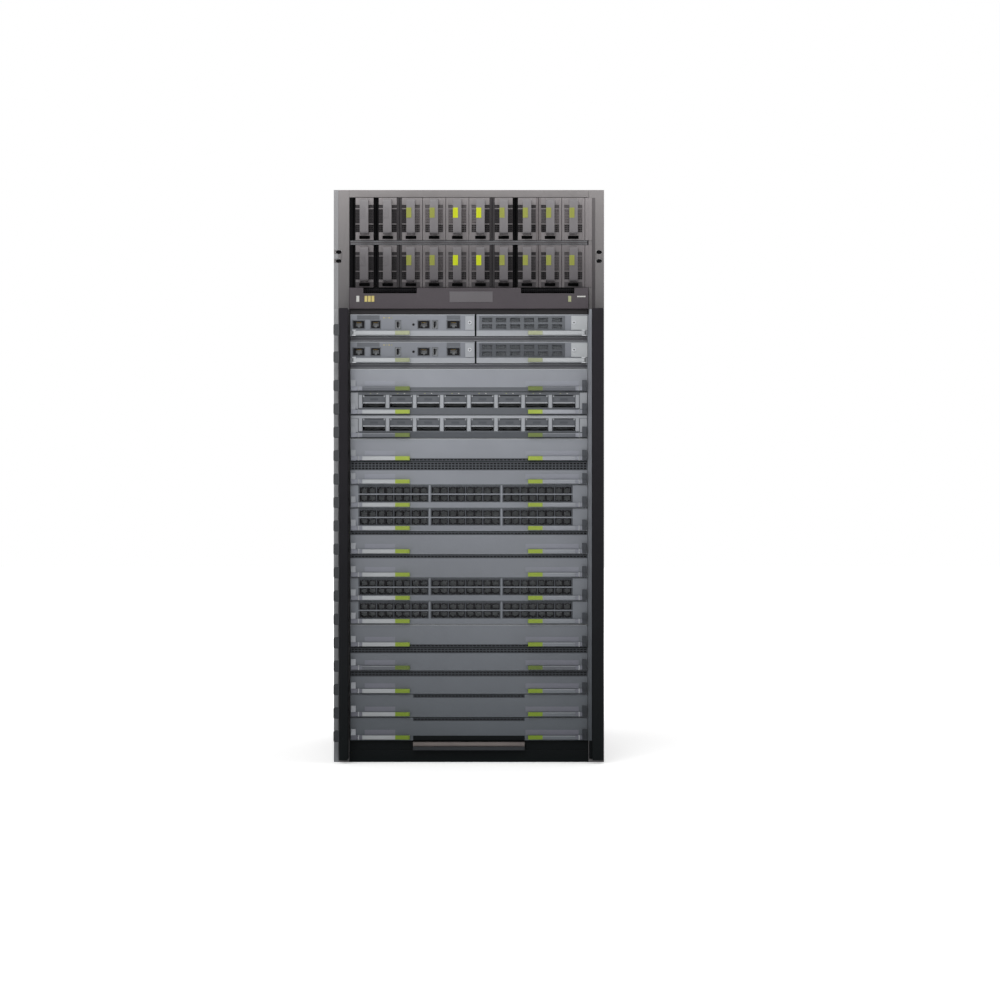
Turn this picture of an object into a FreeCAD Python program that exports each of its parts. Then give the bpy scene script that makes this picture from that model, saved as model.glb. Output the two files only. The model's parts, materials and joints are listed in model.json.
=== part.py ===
"""Modular chassis switch: a 19-inch, 23-unit chassis with two rows of power
modules above a bezel, two rows of half-width control modules and sixteen
line-card slots, filled with port cards and filler panels.

Millimetres, +Z up, the front faces -Y. Everything is drawn from the plane of
the rack flanges' front faces (y = 0) and from the floor (z = 0), and shifted
in depth at export, so that the origin lies under the middle of the object.
"""
import FreeCAD
import Part
import os

# ---- Rack standard and body ------------------------------------------------
rack_width = 482.6
rack_unit = 44.45
flange_reach = 20.3
flange_slot_edge = 8.75
flange_slot_pitch = 15.875
flange_slot_radius = 3.4
flange_slot_length = 10.4
flange_slot_unit = 20
first_hole_height = 5.95
body_depth = 650.0
sheet = 2.0

# ---- Heights, from the floor up --------------------------------------------
plinth_height = 21.6
sill_height = 17.0
card_pitch = 41.5
card_slots = 16
control_gap = 9.0
control_height = 39.5
control_rows = 2
bezel_height = 38.6
power_bay_height = 76.8
power_rows = 2
shelf_height = 7.6
top_lip_height = 13.2

# ---- Clearances ------------------------------------------------------------
face_gap = 1.0
seat_gap = 0.3
side_gap = 1.0
lever_gap = 0.5
pin_gap = 0.08

# ---- Inside ----------------------------------------------------------------
module_depth = 424.0
midplane_thickness = 4.0
midplane_margin = 12.0
connector_reach = 4.0
connector_columns = 4
connector_width = 40.0
connector_span = 320.0
power_connector_height = 12.0
fabric_boards = 5
fabric_board_depth = 60.0
fabric_board_thickness = 3.0
guide_reach = 10.0
guide_thickness = 2.0

# ---- Line cards and filler panels ------------------------------------------
face_margin = 9.5
face_thickness = 3.0
board_thickness = 2.4
heat_sink_size = 70.0
heat_sink_height = 14.0
filler_depth = 28.0
filler_wall = 1.5
vent_recess = 2.0
vent_slots = 6
vent_slot_depth = 4.0
vent_slot_share = 0.6
tall_vent_height = 15.0
middle_vent_height = 9.5
low_vent_height = 6.0
slotted_vent_height = 8.0

# ---- Ejector levers --------------------------------------------------------
lever_length = 106.0
lever_tip_gap = 6.0
lever_rise = 2.5
lever_height = 7.0
lever_thickness = 5.5
grip_length = 26.0
grip_thickness = 7.5
turning_thickness = 4.0
pivot_inset = 7.0
pivot_radius = 1.6
eye_half = 3.4
eye_nose = 3.0
eye_length = 6.0
clevis_thickness = 1.5

# ---- Eight-bay cards -------------------------------------------------------
bay_count = 8
bay_margin = 35.8
bay_divider = 8.4
bay_height = 22.5
bay_rise = 13.5
bay_depth = 60.0
shutter_height = 10.5
shutter_drop = 2.5
shutter_thickness = 3.0
shutter_inset = 2.5
cage_wall = 1.6

# ---- Dense port cards ------------------------------------------------------
port_sections = 3
pairs_in_section = 4
port_rows = 2
pair_divider = 2.0
port_height = 11.6
port_depth = 30.0
port_rise = 11.8
port_row_pitch = 14.4
section_gap = 5.0
port_field_margin = 43.4
port_field_shift = -6.0

# ---- Control modules -------------------------------------------------------
socket_module_width = 222.0
control_split_gap = 3.0
control_port_height = 13.0
control_port_depth = 16.0
control_port_rise = 14.5
control_port_places = ((5.0, 20.0), (37.0, 16.0), (81.0, 8.0), (121.0, 20.0), (147.0, 8.0), (173.0, 22.0))
mesh_columns = 6
mesh_rows = 2
mesh_bar = 7.0
mesh_cell_height = 8.0
mesh_pitch_z = 11.5
mesh_rise = 13.5
mesh_depth = 6.0
mesh_start = 10.0
mesh_end = 45.0
divider_width = 10.0
divider_drop = 4.0

# ---- Power modules ---------------------------------------------------------
power_columns = 10
power_margin = 9.0
power_gap = 0.8
power_head_room = 1.2
power_face = -2.0
handle_width = 15.0
handle_thickness = 4.0
handle_reach = 24.0
handle_rise = 10.0
handle_height = 62.0
latch_width = 8.0
latch_height = 20.0
latch_rise = 38.0
latch_proud = 1.5
power_vent_width = 8.0
power_vent_height = 56.0
power_vent_rise = 13.0
power_vent_depth = 6.0
foot_recess_width = 19.0
foot_recess_height = 6.0
foot_recess_rise = 2.0
foot_recess_depth = 9.0

# ---- Bezel -----------------------------------------------------------------
bezel_reach = 8.0
bezel_edge_gap = 0.6
bezel_notch_width = 95.0
bezel_notch_height = 10.0
bezel_notch_place = 0.66
flange_inner_gap = 2.0

# ---- Cable comb and column -------------------------------------------------
column_reach = 34.0
column_wall = 2.0
column_foot = 6.0
comb_width = 18.5
column_width = 25.0
finger_reach = 8.0
finger_depth = 10.0
finger_height = 20.0

# ---- Air filter ------------------------------------------------------------
filter_depth = 380.0
filter_gap = 0.5
filter_border = 8.0
filter_recess = 5.0
filter_lip_reach = 12.0
filter_lip_thickness = 6.0

# ---- Rear ------------------------------------------------------------------
tray_count = 2
tray_margin = 21.0
tray_depth = 150.0
tray_gap = 20.0
tray_rise = 46.0
tray_face_proud = 2.0
tray_wall = 2.0
fan_columns = 3
fan_rows = 2
fan_margin = 22.0
fan_bar = 22.0
fan_row_inset = 16.0
fan_window_depth = 8.0
tray_handle_width = 120.0
tray_handle_reach = 22.0
tray_handle_thickness = 5.0
tray_handle_height = 12.0
exhaust_slots = 12
exhaust_margin = 58.0
exhaust_bar = 14.0
exhaust_slot_height = 110.0
exhaust_slot_rise = 20.0
terminal_bar_height = 28.0
terminal_bar_reach = 12.0
terminal_bar_drop = 36.0
terminal_bar_gap = 41.2
terminal_tabs = 10
terminal_tab_width = 16.0
terminal_tab_height = 12.0
terminal_tab_reach = 8.0

# ---- Widths and places worked out from the sizes ---------------------------
body_width = rack_width - 2 * flange_reach
flange_slot_span = rack_width - 2 * flange_slot_edge
face_width = body_width - 2 * face_margin
between_levers = face_width - 2 * (lever_length + lever_tip_gap)
bay_pitch = (face_width - bay_margin) / bay_count
bay_width = bay_pitch - bay_divider
port_field = face_width - port_field_margin - (port_sections - 1) * section_gap
pair_pitch = port_field / (port_sections * pairs_in_section)
pair_width = pair_pitch - pair_divider
control_split = socket_module_width + control_split_gap / 2 - face_width / 2
vent_module_width = face_width - socket_module_width - control_split_gap
mesh_pitch_x = (vent_module_width - mesh_start - mesh_end + mesh_bar) / mesh_columns
mesh_cell_width = mesh_pitch_x - mesh_bar
power_pitch = (face_width - power_margin) / power_columns
filter_width = between_levers
tray_width = body_width - 2 * tray_margin
fan_pitch_x = (tray_width - fan_margin) / fan_columns
fan_window = fan_pitch_x - fan_bar
exhaust_slot_pitch = (body_width - exhaust_margin) / exhaust_slots
exhaust_slot_width = exhaust_slot_pitch - exhaust_bar

wall_inner = body_width / 2 - sheet
sill_top = plinth_height + sill_height
cage_top = sill_top + card_slots * card_pitch
control_pitch = control_gap + control_height
bezel_bottom = cage_top + control_rows * control_pitch + control_gap
bezel_top = bezel_bottom + bezel_height
power_row_pitch = power_bay_height + shelf_height
power_top = bezel_top + power_rows * power_row_pitch - shelf_height
chassis_height = power_top + top_lip_height
flange_inner = face_width / 2 + flange_inner_gap
frame_back = 2 * sheet
opening_half = face_width / 2 + side_gap
midplane_front = module_depth + seat_gap + connector_reach
midplane_back = midplane_front + midplane_thickness
board_lift = guide_thickness + seat_gap
power_width = power_pitch - power_gap
power_height = power_bay_height - power_head_room
terminal_bar_low = bezel_top - terminal_bar_drop
tray_height = (terminal_bar_low - terminal_bar_gap - tray_rise - tray_gap) / tray_count
tray_pitch = tray_height + tray_gap
fan_pitch_z = tray_height / fan_rows - fan_row_inset
depth_shift = -(body_depth + tray_face_proud + tray_handle_reach - column_reach) / 2

dense_slots = (6, 7, 10, 11)
bay_slots = (2, 3)
wide_vents = {5: tall_vent_height, 8: low_vent_height, 9: low_vent_height,
              13: middle_vent_height, 14: middle_vent_height}
centre_vents = (15, 16)


def block(x, y, z):
    """A box between pairs of limits along X, Y and Z."""
    corner = FreeCAD.Vector(x[0], y[0], z[0])
    return Part.makeBox(x[1] - x[0], y[1] - y[0], z[1] - z[0], corner)


def about(centre, width):
    """The limits of a width centred on a place."""
    return (centre - width / 2, centre + width / 2)


def join(first, *others):
    """Fused pieces as one solid with no seams on its flat faces."""
    return first.fuse(list(others)).removeSplitter()


def prism(points, base, height):
    """A closed outline in X and Y, raised from a base height."""
    corners = [FreeCAD.Vector(x, y, base) for x, y in points]
    face = Part.Face(Part.makePolygon(corners + corners[:1]))
    return face.extrude(FreeCAD.Vector(0, 0, height))


def mirror(shape):
    """The same piece on the other side of the middle."""
    return shape.mirror(FreeCAD.Vector(0, 0, 0), FreeCAD.Vector(1, 0, 0))


def save(name, shape):
    """Writes one piece, with the origin under the middle of the object."""
    shape.translate(FreeCAD.Vector(0, depth_shift, 0))
    shape.exportStep("parts/" + name + ".step")


def slot_floor(number):
    """The floor of a line-card slot, counted from 1 at the top."""
    return sill_top + (card_slots - number) * card_pitch


def control_floor(row):
    """The floor of a control row, counted from 0 at the bottom."""
    return cage_top + control_gap + row * control_pitch


def power_floor(row):
    """The floor of a power row, counted from 0 at the bottom."""
    return bezel_top + row * power_row_pitch


# ---- Chassis ---------------------------------------------------------------
def guide_floors():
    """The floors of all slots whose boards run in side guides."""
    cards = [slot_floor(number) for number in range(1, card_slots + 1)]
    return cards + [control_floor(row) for row in range(control_rows)]


def flange_slot(centre):
    """A round-ended slot through a rack flange."""
    half = flange_slot_length / 2 - flange_slot_radius
    middle = flange_slot_span / 2
    low = centre - flange_slot_radius
    high = centre + flange_slot_radius
    corners = [FreeCAD.Vector(middle + side, 0, level)
               for side, level in ((-half, low), (half, low), (half, high), (-half, high))]
    right = FreeCAD.Vector(middle + half + flange_slot_radius, 0, centre)
    left = FreeCAD.Vector(middle - half - flange_slot_radius, 0, centre)
    edges = [Part.makeLine(corners[0], corners[1]),
             Part.Arc(corners[1], right, corners[2]).toShape(),
             Part.makeLine(corners[2], corners[3]),
             Part.Arc(corners[3], left, corners[0]).toShape()]
    return Part.Face(Part.Wire(edges)).extrude(FreeCAD.Vector(0, sheet, 0))


def side_wall():
    """The right-hand wall: a folded sheet with its rack flange and guides."""
    wall = block((wall_inner, body_width / 2), (0, body_depth), (sheet, chassis_height - sheet))
    flange = block((flange_inner, rack_width / 2), (0, sheet), (0, chassis_height))
    guides = [block((wall_inner - guide_reach, wall_inner), (frame_back, midplane_front),
                    (floor, floor + guide_thickness)) for floor in guide_floors()]
    first = flange_slot_unit * rack_unit + first_hole_height
    slots = [flange_slot(first), flange_slot(first + flange_slot_pitch)]
    return join(wall, flange, *guides).cut(Part.makeCompound(slots))


def top_cover():
    """The top sheet with its folded front lip."""
    plate = block((-body_width / 2, body_width / 2), (sheet, body_depth),
                  (chassis_height - sheet, chassis_height))
    lip = block((-flange_inner, flange_inner), (0, sheet), (power_top, chassis_height))
    return join(plate, lip)


def base_pan():
    """The floor sheet with the plinth folded up at the front."""
    plate = block((-body_width / 2, body_width / 2), (sheet, body_depth), (0, sheet))
    plinth = block((-flange_inner, flange_inner), (0, sheet), (0, plinth_height))
    return join(plate, plinth)


def power_shelf(row):
    """A shelf under a power row, with its front lip turned down."""
    floor = power_floor(row)
    plate = block((-wall_inner, wall_inner), (frame_back, midplane_front), (floor - sheet, floor))
    return join(plate, block((-flange_inner, flange_inner), (frame_back, frame_back + sheet),
                             (floor - shelf_height, floor)))


def front_frame():
    """The ladder frame behind the module faces, with the middle guides."""
    frame = block((-wall_inner, wall_inner), (sheet, frame_back), (sheet, chassis_height - sheet))
    wide = (-opening_half, opening_half)
    power = about(0, power_columns * power_pitch + face_gap)
    drawer = about(0, filter_width + 2 * filter_gap)
    through = (sheet, frame_back)
    openings = [block(wide, through, (sill_top, cage_top)),
                block(drawer, through, (plinth_height, sill_top - sheet)),
                block(power, through, (bezel_bottom + shelf_height, bezel_top - shelf_height))]
    for row in range(control_rows):
        floor = control_floor(row)
        openings.append(block(wide, through, (floor, floor + control_height)))
    for row in range(power_rows):
        floor = power_floor(row)
        openings.append(block(power, through, (floor, floor + power_bay_height)))
    guides = [block(about(control_split, divider_width), (frame_back, midplane_front),
                    (control_floor(row) - divider_drop, control_floor(row) + guide_thickness))
              for row in range(control_rows)]
    return join(frame.cut(Part.makeCompound(openings)), *guides)


def front_bezel():
    """The bezel, a shallow tray with two long notches in its top edge."""
    half = flange_inner - bezel_edge_gap
    low = bezel_bottom + bezel_edge_gap
    high = bezel_top - bezel_edge_gap
    tray = block((-half, half), (-bezel_reach, sheet), (low, high))
    hollow = block((-half + sheet, half - sheet), (sheet - bezel_reach, sheet),
                   (low + sheet, high - sheet))
    notches = [block(about(side * bezel_notch_place * half, bezel_notch_width),
                     (-bezel_reach, sheet), (high - bezel_notch_height, high))
               for side in (-1, 1)]
    return tray.cut(Part.makeCompound([hollow] + notches))


def cable_channel(width):
    """The right-hand cable channel, open towards the cards."""
    inner = flange_inner + side_gap
    body = block((inner, inner + width), (-column_reach, 0), (column_foot, bezel_bottom))
    trough = block((inner, inner + width - column_wall), (column_wall - column_reach, -column_wall),
                   (column_foot, bezel_bottom))
    return body.cut(trough)


def cable_comb():
    """The left-hand channel with one finger for each slot."""
    outer = flange_inner + side_gap + comb_width
    fingers = [block((outer, outer + finger_reach), (-column_reach, finger_depth - column_reach),
                     (floor, floor + finger_height)) for floor in guide_floors()]
    return mirror(join(cable_channel(comb_width), *fingers))


# ---- Levers ----------------------------------------------------------------
def fixed_levers(floor):
    """The pair of levers closed on a full-width face."""
    outer = face_width / 2
    inner = outer - lever_length
    grip = inner + grip_length
    front = -face_thickness - lever_thickness
    outline = [(outer, -face_thickness), (outer, front), (grip, front),
               (inner, -face_thickness - grip_thickness), (inner, -face_thickness)]
    right = prism(outline, floor + lever_rise, lever_height)
    return [right, mirror(right)]


def pivot_place():
    """The right-hand pivot of a turning lever, across and in depth."""
    swing = (eye_half ** 2 + eye_nose ** 2) ** 0.5
    return face_width / 2 - pivot_inset, -face_thickness - lever_gap - swing


def turning_lever(row):
    """The right-hand lever of a control module, which turns on its pin."""
    across, depth = pivot_place()
    base = control_floor(row) + lever_rise
    back = depth + turning_thickness / 2
    front = depth - turning_thickness / 2
    inner = face_width / 2 - lever_length
    eye = across - eye_length
    outline = [(across + eye_nose, depth + eye_half), (eye, depth + eye_half), (eye, back),
               (inner, back), (inner, back - grip_thickness), (inner + grip_length, front),
               (eye, front), (eye, depth - eye_half), (across + eye_nose, depth - eye_half)]
    hole = Part.makeCylinder(pivot_radius + pin_gap, lever_height, FreeCAD.Vector(across, depth, base))
    return prism(outline, base, lever_height).cut(hole)


def lever_clevis(row):
    """The two lugs and the pin that carry a turning lever."""
    across, depth = pivot_place()
    base = control_floor(row) + lever_rise
    lug = (about(across, 2 * eye_half), (depth - eye_half, -face_thickness))
    low = base - seat_gap
    high = base + lever_height + seat_gap
    pin = Part.makeCylinder(pivot_radius, high - low, FreeCAD.Vector(across, depth, low))
    lower = block(*lug, (low - clevis_thickness, low))
    upper = block(*lug, (high, high + clevis_thickness))
    return [lower, upper, pin]


# ---- Line cards ------------------------------------------------------------
def card_body(floor, x, height):
    """A face with its board and heat sinks, for cards and control modules."""
    face = block(x, (-face_thickness, 0), (floor + face_gap / 2, floor + height - face_gap / 2))
    top = floor + board_lift + board_thickness
    board = block(x, (0, module_depth), (floor + board_lift, top))
    middle = (x[0] + x[1]) / 2
    sink = block(about(middle, heat_sink_size), about(module_depth / 2, heat_sink_size),
                 (top, top + heat_sink_height))
    return [face, board, sink]


def port_block(floor, x, z, depth):
    """The solid body of a row of cages behind a face."""
    return block(x, (0, depth + cage_wall), (floor + z[0], floor + z[1]))


def bay_card(number):
    """A card with eight large bays, each with a shutter across its top."""
    floor = slot_floor(number)
    half = face_width / 2
    body = card_body(floor, (-half, half), card_pitch)
    span = bay_count * bay_pitch
    cage_x = about(0, span)
    low = floor + bay_rise
    high = low + bay_height
    body.append(port_block(floor, cage_x, (board_lift, bay_rise + bay_height + cage_wall), bay_depth))
    bays = []
    shutters = []
    for index in range(bay_count):
        x = about((index + 0.5) * bay_pitch - span / 2, bay_width)
        bays.append(block(x, (-face_thickness, bay_depth), (low, high)))
        shutter_y = (shutter_inset - face_thickness, shutter_inset + shutter_thickness - face_thickness)
        shutters.append(block(x, shutter_y, (high - shutter_drop - shutter_height, high - shutter_drop)))
    card = join(*body).cut(Part.makeCompound(bays))
    return join(card, *shutters, *fixed_levers(floor))


def pair_places():
    """The left edges of the openings in one row, each for two ports side by side."""
    section = pairs_in_section * pair_pitch
    span = port_sections * section + (port_sections - 1) * section_gap
    start = port_field_shift - span / 2 + (pair_pitch - pair_width) / 2
    return [start + part * (section + section_gap) + index * pair_pitch
            for part in range(port_sections) for index in range(pairs_in_section)]


def dense_card(number):
    """A card whose face is filled by two rows of small ports."""
    floor = slot_floor(number)
    half = face_width / 2
    places = pair_places()
    cage_x = (places[0] - cage_wall, places[-1] + pair_width + cage_wall)
    cage_z = (board_lift, port_rise + port_row_pitch + port_height + cage_wall)
    body = card_body(floor, (-half, half), card_pitch)
    body.append(port_block(floor, cage_x, cage_z, port_depth))
    ports = []
    for row in range(port_rows):
        low = floor + port_rise + row * port_row_pitch
        for left in places:
            ports.append(block((left, left + pair_width), (-face_thickness, port_depth),
                               (low, low + port_height)))
    card = join(*body).cut(Part.makeCompound(ports))
    return join(card, *fixed_levers(floor))


def vent_cuts(x, top, height):
    """A vent strip along the top of a filler: a step, with slots in a high one."""
    cuts = [block(x, (-face_thickness, vent_recess - face_thickness), (top - height, top))]
    if height > slotted_vent_height:
        pitch = (x[1] - x[0]) / vent_slots
        deep = vent_recess + vent_slot_depth - face_thickness
        for index in range(vent_slots):
            place = about(x[0] + (index + 0.5) * pitch, pitch * vent_slot_share)
            cuts.append(block(place, (-face_thickness, deep),
                              (top - height * 0.8, top - height * 0.2)))
    return cuts


def filler_panel(number):
    """An empty slot's panel, a shallow tray with two levers."""
    floor = slot_floor(number)
    half = face_width / 2
    top = floor + card_pitch - face_gap / 2
    face = block((-half, half), (-face_thickness, 0), (floor + face_gap / 2, top))
    tray = block((-half, half), (0, filler_depth), (floor + board_lift, top))
    hollow = block((filler_wall - half, half - filler_wall), (0, filler_depth),
                   (floor + board_lift + filler_wall, top - filler_wall))
    cuts = []
    if number in wide_vents:
        cuts = vent_cuts((-half, half), top, wide_vents[number])
    if number in centre_vents:
        cuts = vent_cuts(about(0, between_levers), top, low_vent_height)
    panel = join(face, tray.cut(hollow))
    if cuts:
        panel = panel.cut(Part.makeCompound(cuts))
    return join(panel, *fixed_levers(floor))


# ---- Control modules -------------------------------------------------------
def control_body(row, x):
    """A half-width module's face, board, heat sink and block for its face parts."""
    floor = control_floor(row)
    body = card_body(floor, x, control_height)
    body.append(port_block(floor, (x[0] + 2 * cage_wall, x[1] - 2 * cage_wall),
                           (board_lift, control_height - 2 * cage_wall), control_port_depth))
    return join(*body)


def left_control(row):
    """The left module of a row, with its sockets."""
    left = -face_width / 2
    right = control_split - control_split_gap / 2
    low = control_floor(row) + control_port_rise
    sockets = [block((left + place, left + place + width), (-face_thickness, control_port_depth - cage_wall),
                     (low, low + control_port_height)) for place, width in control_port_places]
    body = control_body(row, (left, right)).cut(Part.makeCompound(sockets))
    return join(body, *[mirror(piece) for piece in lever_clevis(row)])


def right_control(row):
    """The right module of a row, with its chequered vent."""
    left = control_split + control_split_gap / 2
    low = control_floor(row) + mesh_rise
    cells = []
    for line in range(mesh_rows):
        for column in range(mesh_columns):
            x = left + mesh_start + column * mesh_pitch_x
            z = low + line * mesh_pitch_z
            cells.append(block((x, x + mesh_cell_width), (-face_thickness, mesh_depth - face_thickness),
                               (z, z + mesh_cell_height)))
    body = control_body(row, (left, face_width / 2)).cut(Part.makeCompound(cells))
    return join(body, *lever_clevis(row))


# ---- Power modules ---------------------------------------------------------
def strap_handle(centre, floor):
    """A strap bent twice, standing off a power module's face."""
    x = about(centre, handle_width)
    z = (floor + handle_rise, floor + handle_rise + handle_height)
    strap = block(x, (power_face - handle_reach, power_face), z)
    gap = block(x, (power_face - handle_reach + handle_thickness, power_face),
                (z[0] + handle_thickness, z[1] - handle_thickness))
    return strap.cut(gap)


def power_module(row, column):
    """A power module: its case, vents, strap handle and latch tab."""
    floor = power_floor(row)
    centre = (column - (power_columns - 1) / 2) * power_pitch
    base = floor + seat_gap
    case = block(about(centre, power_width), (power_face, module_depth), (base, base + power_height))
    side = (power_width + handle_width) / 4
    cuts = [block(about(centre, foot_recess_width), (power_face, power_face + foot_recess_depth),
                  (base + foot_recess_rise, base + foot_recess_rise + foot_recess_height))]
    for sign in (-1, 1):
        cuts.append(block(about(centre + sign * side, power_vent_width),
                          (power_face, power_face + power_vent_depth),
                          (base + power_vent_rise, base + power_vent_rise + power_vent_height)))
    strap_front = power_face - handle_reach
    strap_left = centre - handle_width / 2
    latch = block((strap_left, strap_left + latch_width), (strap_front - latch_proud, strap_front),
                  (base + latch_rise, base + latch_rise + latch_height))
    return join(case.cut(Part.makeCompound(cuts)), strap_handle(centre, base), latch)


# ---- Inside and rear -------------------------------------------------------
def midplane():
    """The board between front and rear, with connectors and fabric boards."""
    board = block((-wall_inner, wall_inner), (midplane_front, midplane_back),
                  (sheet + midplane_margin, chassis_height - sheet - midplane_margin))
    reach = (midplane_front - connector_reach, midplane_front)
    step = connector_span / (connector_columns - 1)
    bars = [block(about(index * step - connector_span / 2, connector_width), reach,
                  (sill_top, bezel_bottom)) for index in range(connector_columns)]
    for row in range(power_rows):
        middle = power_floor(row) + power_bay_height / 2
        bars.append(block(about(0, power_columns * power_pitch), reach,
                          about(middle, power_connector_height)))
    pitch = connector_span / fabric_boards
    boards = [block(about((index - (fabric_boards - 1) / 2) * pitch, fabric_board_thickness),
                    (midplane_back, midplane_back + fabric_board_depth), (sill_top, cage_top))
              for index in range(fabric_boards)]
    return join(board, *bars, *boards)


def air_filter():
    """The filter drawer, with its pull lip at the sill."""
    x = about(0, filter_width)
    z = (plinth_height + filter_gap, sill_top - sheet - filter_gap)
    slab = block(x, (0, filter_depth), z)
    mat = block((x[0] + filter_border, x[1] - filter_border),
                (filter_border, filter_depth - filter_border), (z[1] - filter_recess, z[1]))
    lip = block(x, (-filter_lip_reach, 0), (z[1] - filter_lip_thickness, z[1]))
    return join(slab.cut(mat), lip)


def tray_floor(index):
    """The floor of a fan tray, counted from 0 at the bottom."""
    return tray_rise + index * tray_pitch


def rear_frame():
    """The rear sheet, with tray openings and exhaust slots."""
    plate = block((-wall_inner, wall_inner), (body_depth - sheet, body_depth),
                  (sheet, chassis_height - sheet))
    through = (body_depth - sheet, body_depth)
    cuts = [block(about(0, tray_width + 2 * side_gap), through,
                  (tray_floor(index) - seat_gap, tray_floor(index) + tray_height + face_gap))
            for index in range(tray_count)]
    low = bezel_top + exhaust_slot_rise
    for index in range(exhaust_slots):
        middle = (index - (exhaust_slots - 1) / 2) * exhaust_slot_pitch
        cuts.append(block(about(middle, exhaust_slot_width), through, (low, low + exhaust_slot_height)))
    return plate.cut(Part.makeCompound(cuts))


def tray_handle(centre):
    """A flat bail standing off a fan tray's face, with a finger gap."""
    face = body_depth + tray_face_proud
    x = about(0, tray_handle_width)
    bail = block(x, (face, face + tray_handle_reach), about(centre, tray_handle_height))
    gap = block((x[0] + tray_handle_thickness, x[1] - tray_handle_thickness),
                (face, face + tray_handle_reach - tray_handle_thickness),
                about(centre, tray_handle_height))
    return bail.cut(gap)


def fan_tray(index):
    """A fan tray: its case, open to the inside, six fan windows and a handle."""
    floor = tray_floor(index)
    face = body_depth + tray_face_proud
    deep = face - fan_window_depth
    z = (floor, floor + tray_height)
    case = block(about(0, tray_width), (body_depth - tray_depth, face), z)
    inside = block(about(0, tray_width - 2 * tray_wall), (body_depth - tray_depth, deep - tray_wall),
                   (z[0] + tray_wall, z[1] - tray_wall))
    windows = []
    for row in range(fan_rows):
        for column in range(fan_columns):
            x = (column - (fan_columns - 1) / 2) * fan_pitch_x
            middle = floor + tray_height / 2 + (row - (fan_rows - 1) / 2) * fan_pitch_z
            windows.append(block(about(x, fan_window), (deep, face), about(middle, fan_window)))
    body = case.cut(Part.makeCompound([inside] + windows))
    return join(body, tray_handle(floor + tray_height / 2))


def power_terminals():
    """The insulating bar above the trays, with one tab for each column."""
    z = (terminal_bar_low, terminal_bar_low + terminal_bar_height)
    back = body_depth + terminal_bar_reach
    bar = block(about(0, tray_width), (body_depth, back), z)
    tabs = [block(about((index - (terminal_tabs - 1) / 2) * tray_width / terminal_tabs,
                        terminal_tab_width),
                  (back, back + terminal_tab_reach), about((z[0] + z[1]) / 2, terminal_tab_height))
            for index in range(terminal_tabs)]
    return join(bar, *tabs)


def save_chassis():
    """The fixed pieces."""
    save("side_wall_right", side_wall())
    save("side_wall_left", mirror(side_wall()))
    save("top_cover", top_cover())
    save("base_pan", base_pan())
    save("bay_floor", power_shelf(0))
    save("power_shelf", power_shelf(1))
    save("front_frame", front_frame())
    save("front_bezel", front_bezel())
    save("cable_comb_left", cable_comb())
    save("cable_column_right", cable_channel(column_width))
    save("midplane", midplane())
    save("rear_frame", rear_frame())
    save("power_terminals", power_terminals())


def save_line_cards():
    """The sixteen slots, from the top."""
    for number in range(1, card_slots + 1):
        label = "%02d" % number
        if number in bay_slots:
            save("bay_card_" + label, bay_card(number))
        elif number in dense_slots:
            save("port_card_" + label, dense_card(number))
        else:
            save("filler_panel_" + label, filler_panel(number))


def save_modules():
    """The control modules with their levers, the power modules and the drawers."""
    for row, level in enumerate(("lower", "upper")):
        save("control_module_left_" + level, left_control(row))
        save("control_module_right_" + level, right_control(row))
        save("control_lever_left_" + level, mirror(turning_lever(row)))
        save("control_lever_right_" + level, turning_lever(row))
        save("fan_tray_" + level, fan_tray(row))
        for column in range(power_columns):
            save("power_module_%s_%02d" % (level, column + 1), power_module(row, column))
    save("air_filter", air_filter())


os.makedirs("parts", exist_ok=True)
save_chassis()
save_line_cards()
save_modules()
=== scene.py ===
"""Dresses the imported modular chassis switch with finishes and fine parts, and sets up the studio.

Lengths are in millimetres: X across, Y in depth from the rack plane, Z up from the floor.
"""

import json
import logging
import math
from collections.abc import Callable
from dataclasses import dataclass
from enum import Enum
from functools import cache

import bmesh
import bpy
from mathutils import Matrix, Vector

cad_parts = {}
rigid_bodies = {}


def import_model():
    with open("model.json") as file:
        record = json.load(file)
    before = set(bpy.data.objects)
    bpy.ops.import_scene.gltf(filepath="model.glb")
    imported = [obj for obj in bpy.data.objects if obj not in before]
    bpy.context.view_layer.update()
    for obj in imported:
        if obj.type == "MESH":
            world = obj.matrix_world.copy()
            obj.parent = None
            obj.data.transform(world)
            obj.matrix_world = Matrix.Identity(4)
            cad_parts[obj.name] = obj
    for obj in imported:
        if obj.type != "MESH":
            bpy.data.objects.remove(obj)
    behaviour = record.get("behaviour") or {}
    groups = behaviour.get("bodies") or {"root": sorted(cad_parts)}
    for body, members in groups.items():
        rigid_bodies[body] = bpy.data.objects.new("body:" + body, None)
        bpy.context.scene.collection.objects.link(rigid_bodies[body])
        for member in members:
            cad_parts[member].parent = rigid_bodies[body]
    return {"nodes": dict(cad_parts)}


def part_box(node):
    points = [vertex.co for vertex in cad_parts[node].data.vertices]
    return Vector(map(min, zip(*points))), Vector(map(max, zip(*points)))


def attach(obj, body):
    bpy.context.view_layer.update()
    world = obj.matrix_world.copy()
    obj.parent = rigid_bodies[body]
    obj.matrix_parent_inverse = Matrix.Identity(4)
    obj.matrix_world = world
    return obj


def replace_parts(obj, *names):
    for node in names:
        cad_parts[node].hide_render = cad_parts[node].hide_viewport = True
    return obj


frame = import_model()

Span = tuple[float, float]
Window = tuple[Span, Span]
Corner = tuple[float, float, float]
Colour = tuple[float, float, float, float]
Material = bpy.types.Material
NodeTree = bpy.types.NodeTree
Piece = bpy.types.Object
Socket = bpy.types.NodeSocket
Value = Socket | float | Corner | Colour

LOG = logging.getLogger("chassis_switch")
MM = 0.001
WHITE = (1.0, 1.0, 1.0, 1.0)
RACK_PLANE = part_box("side_wall_right")[0].y / MM


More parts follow.
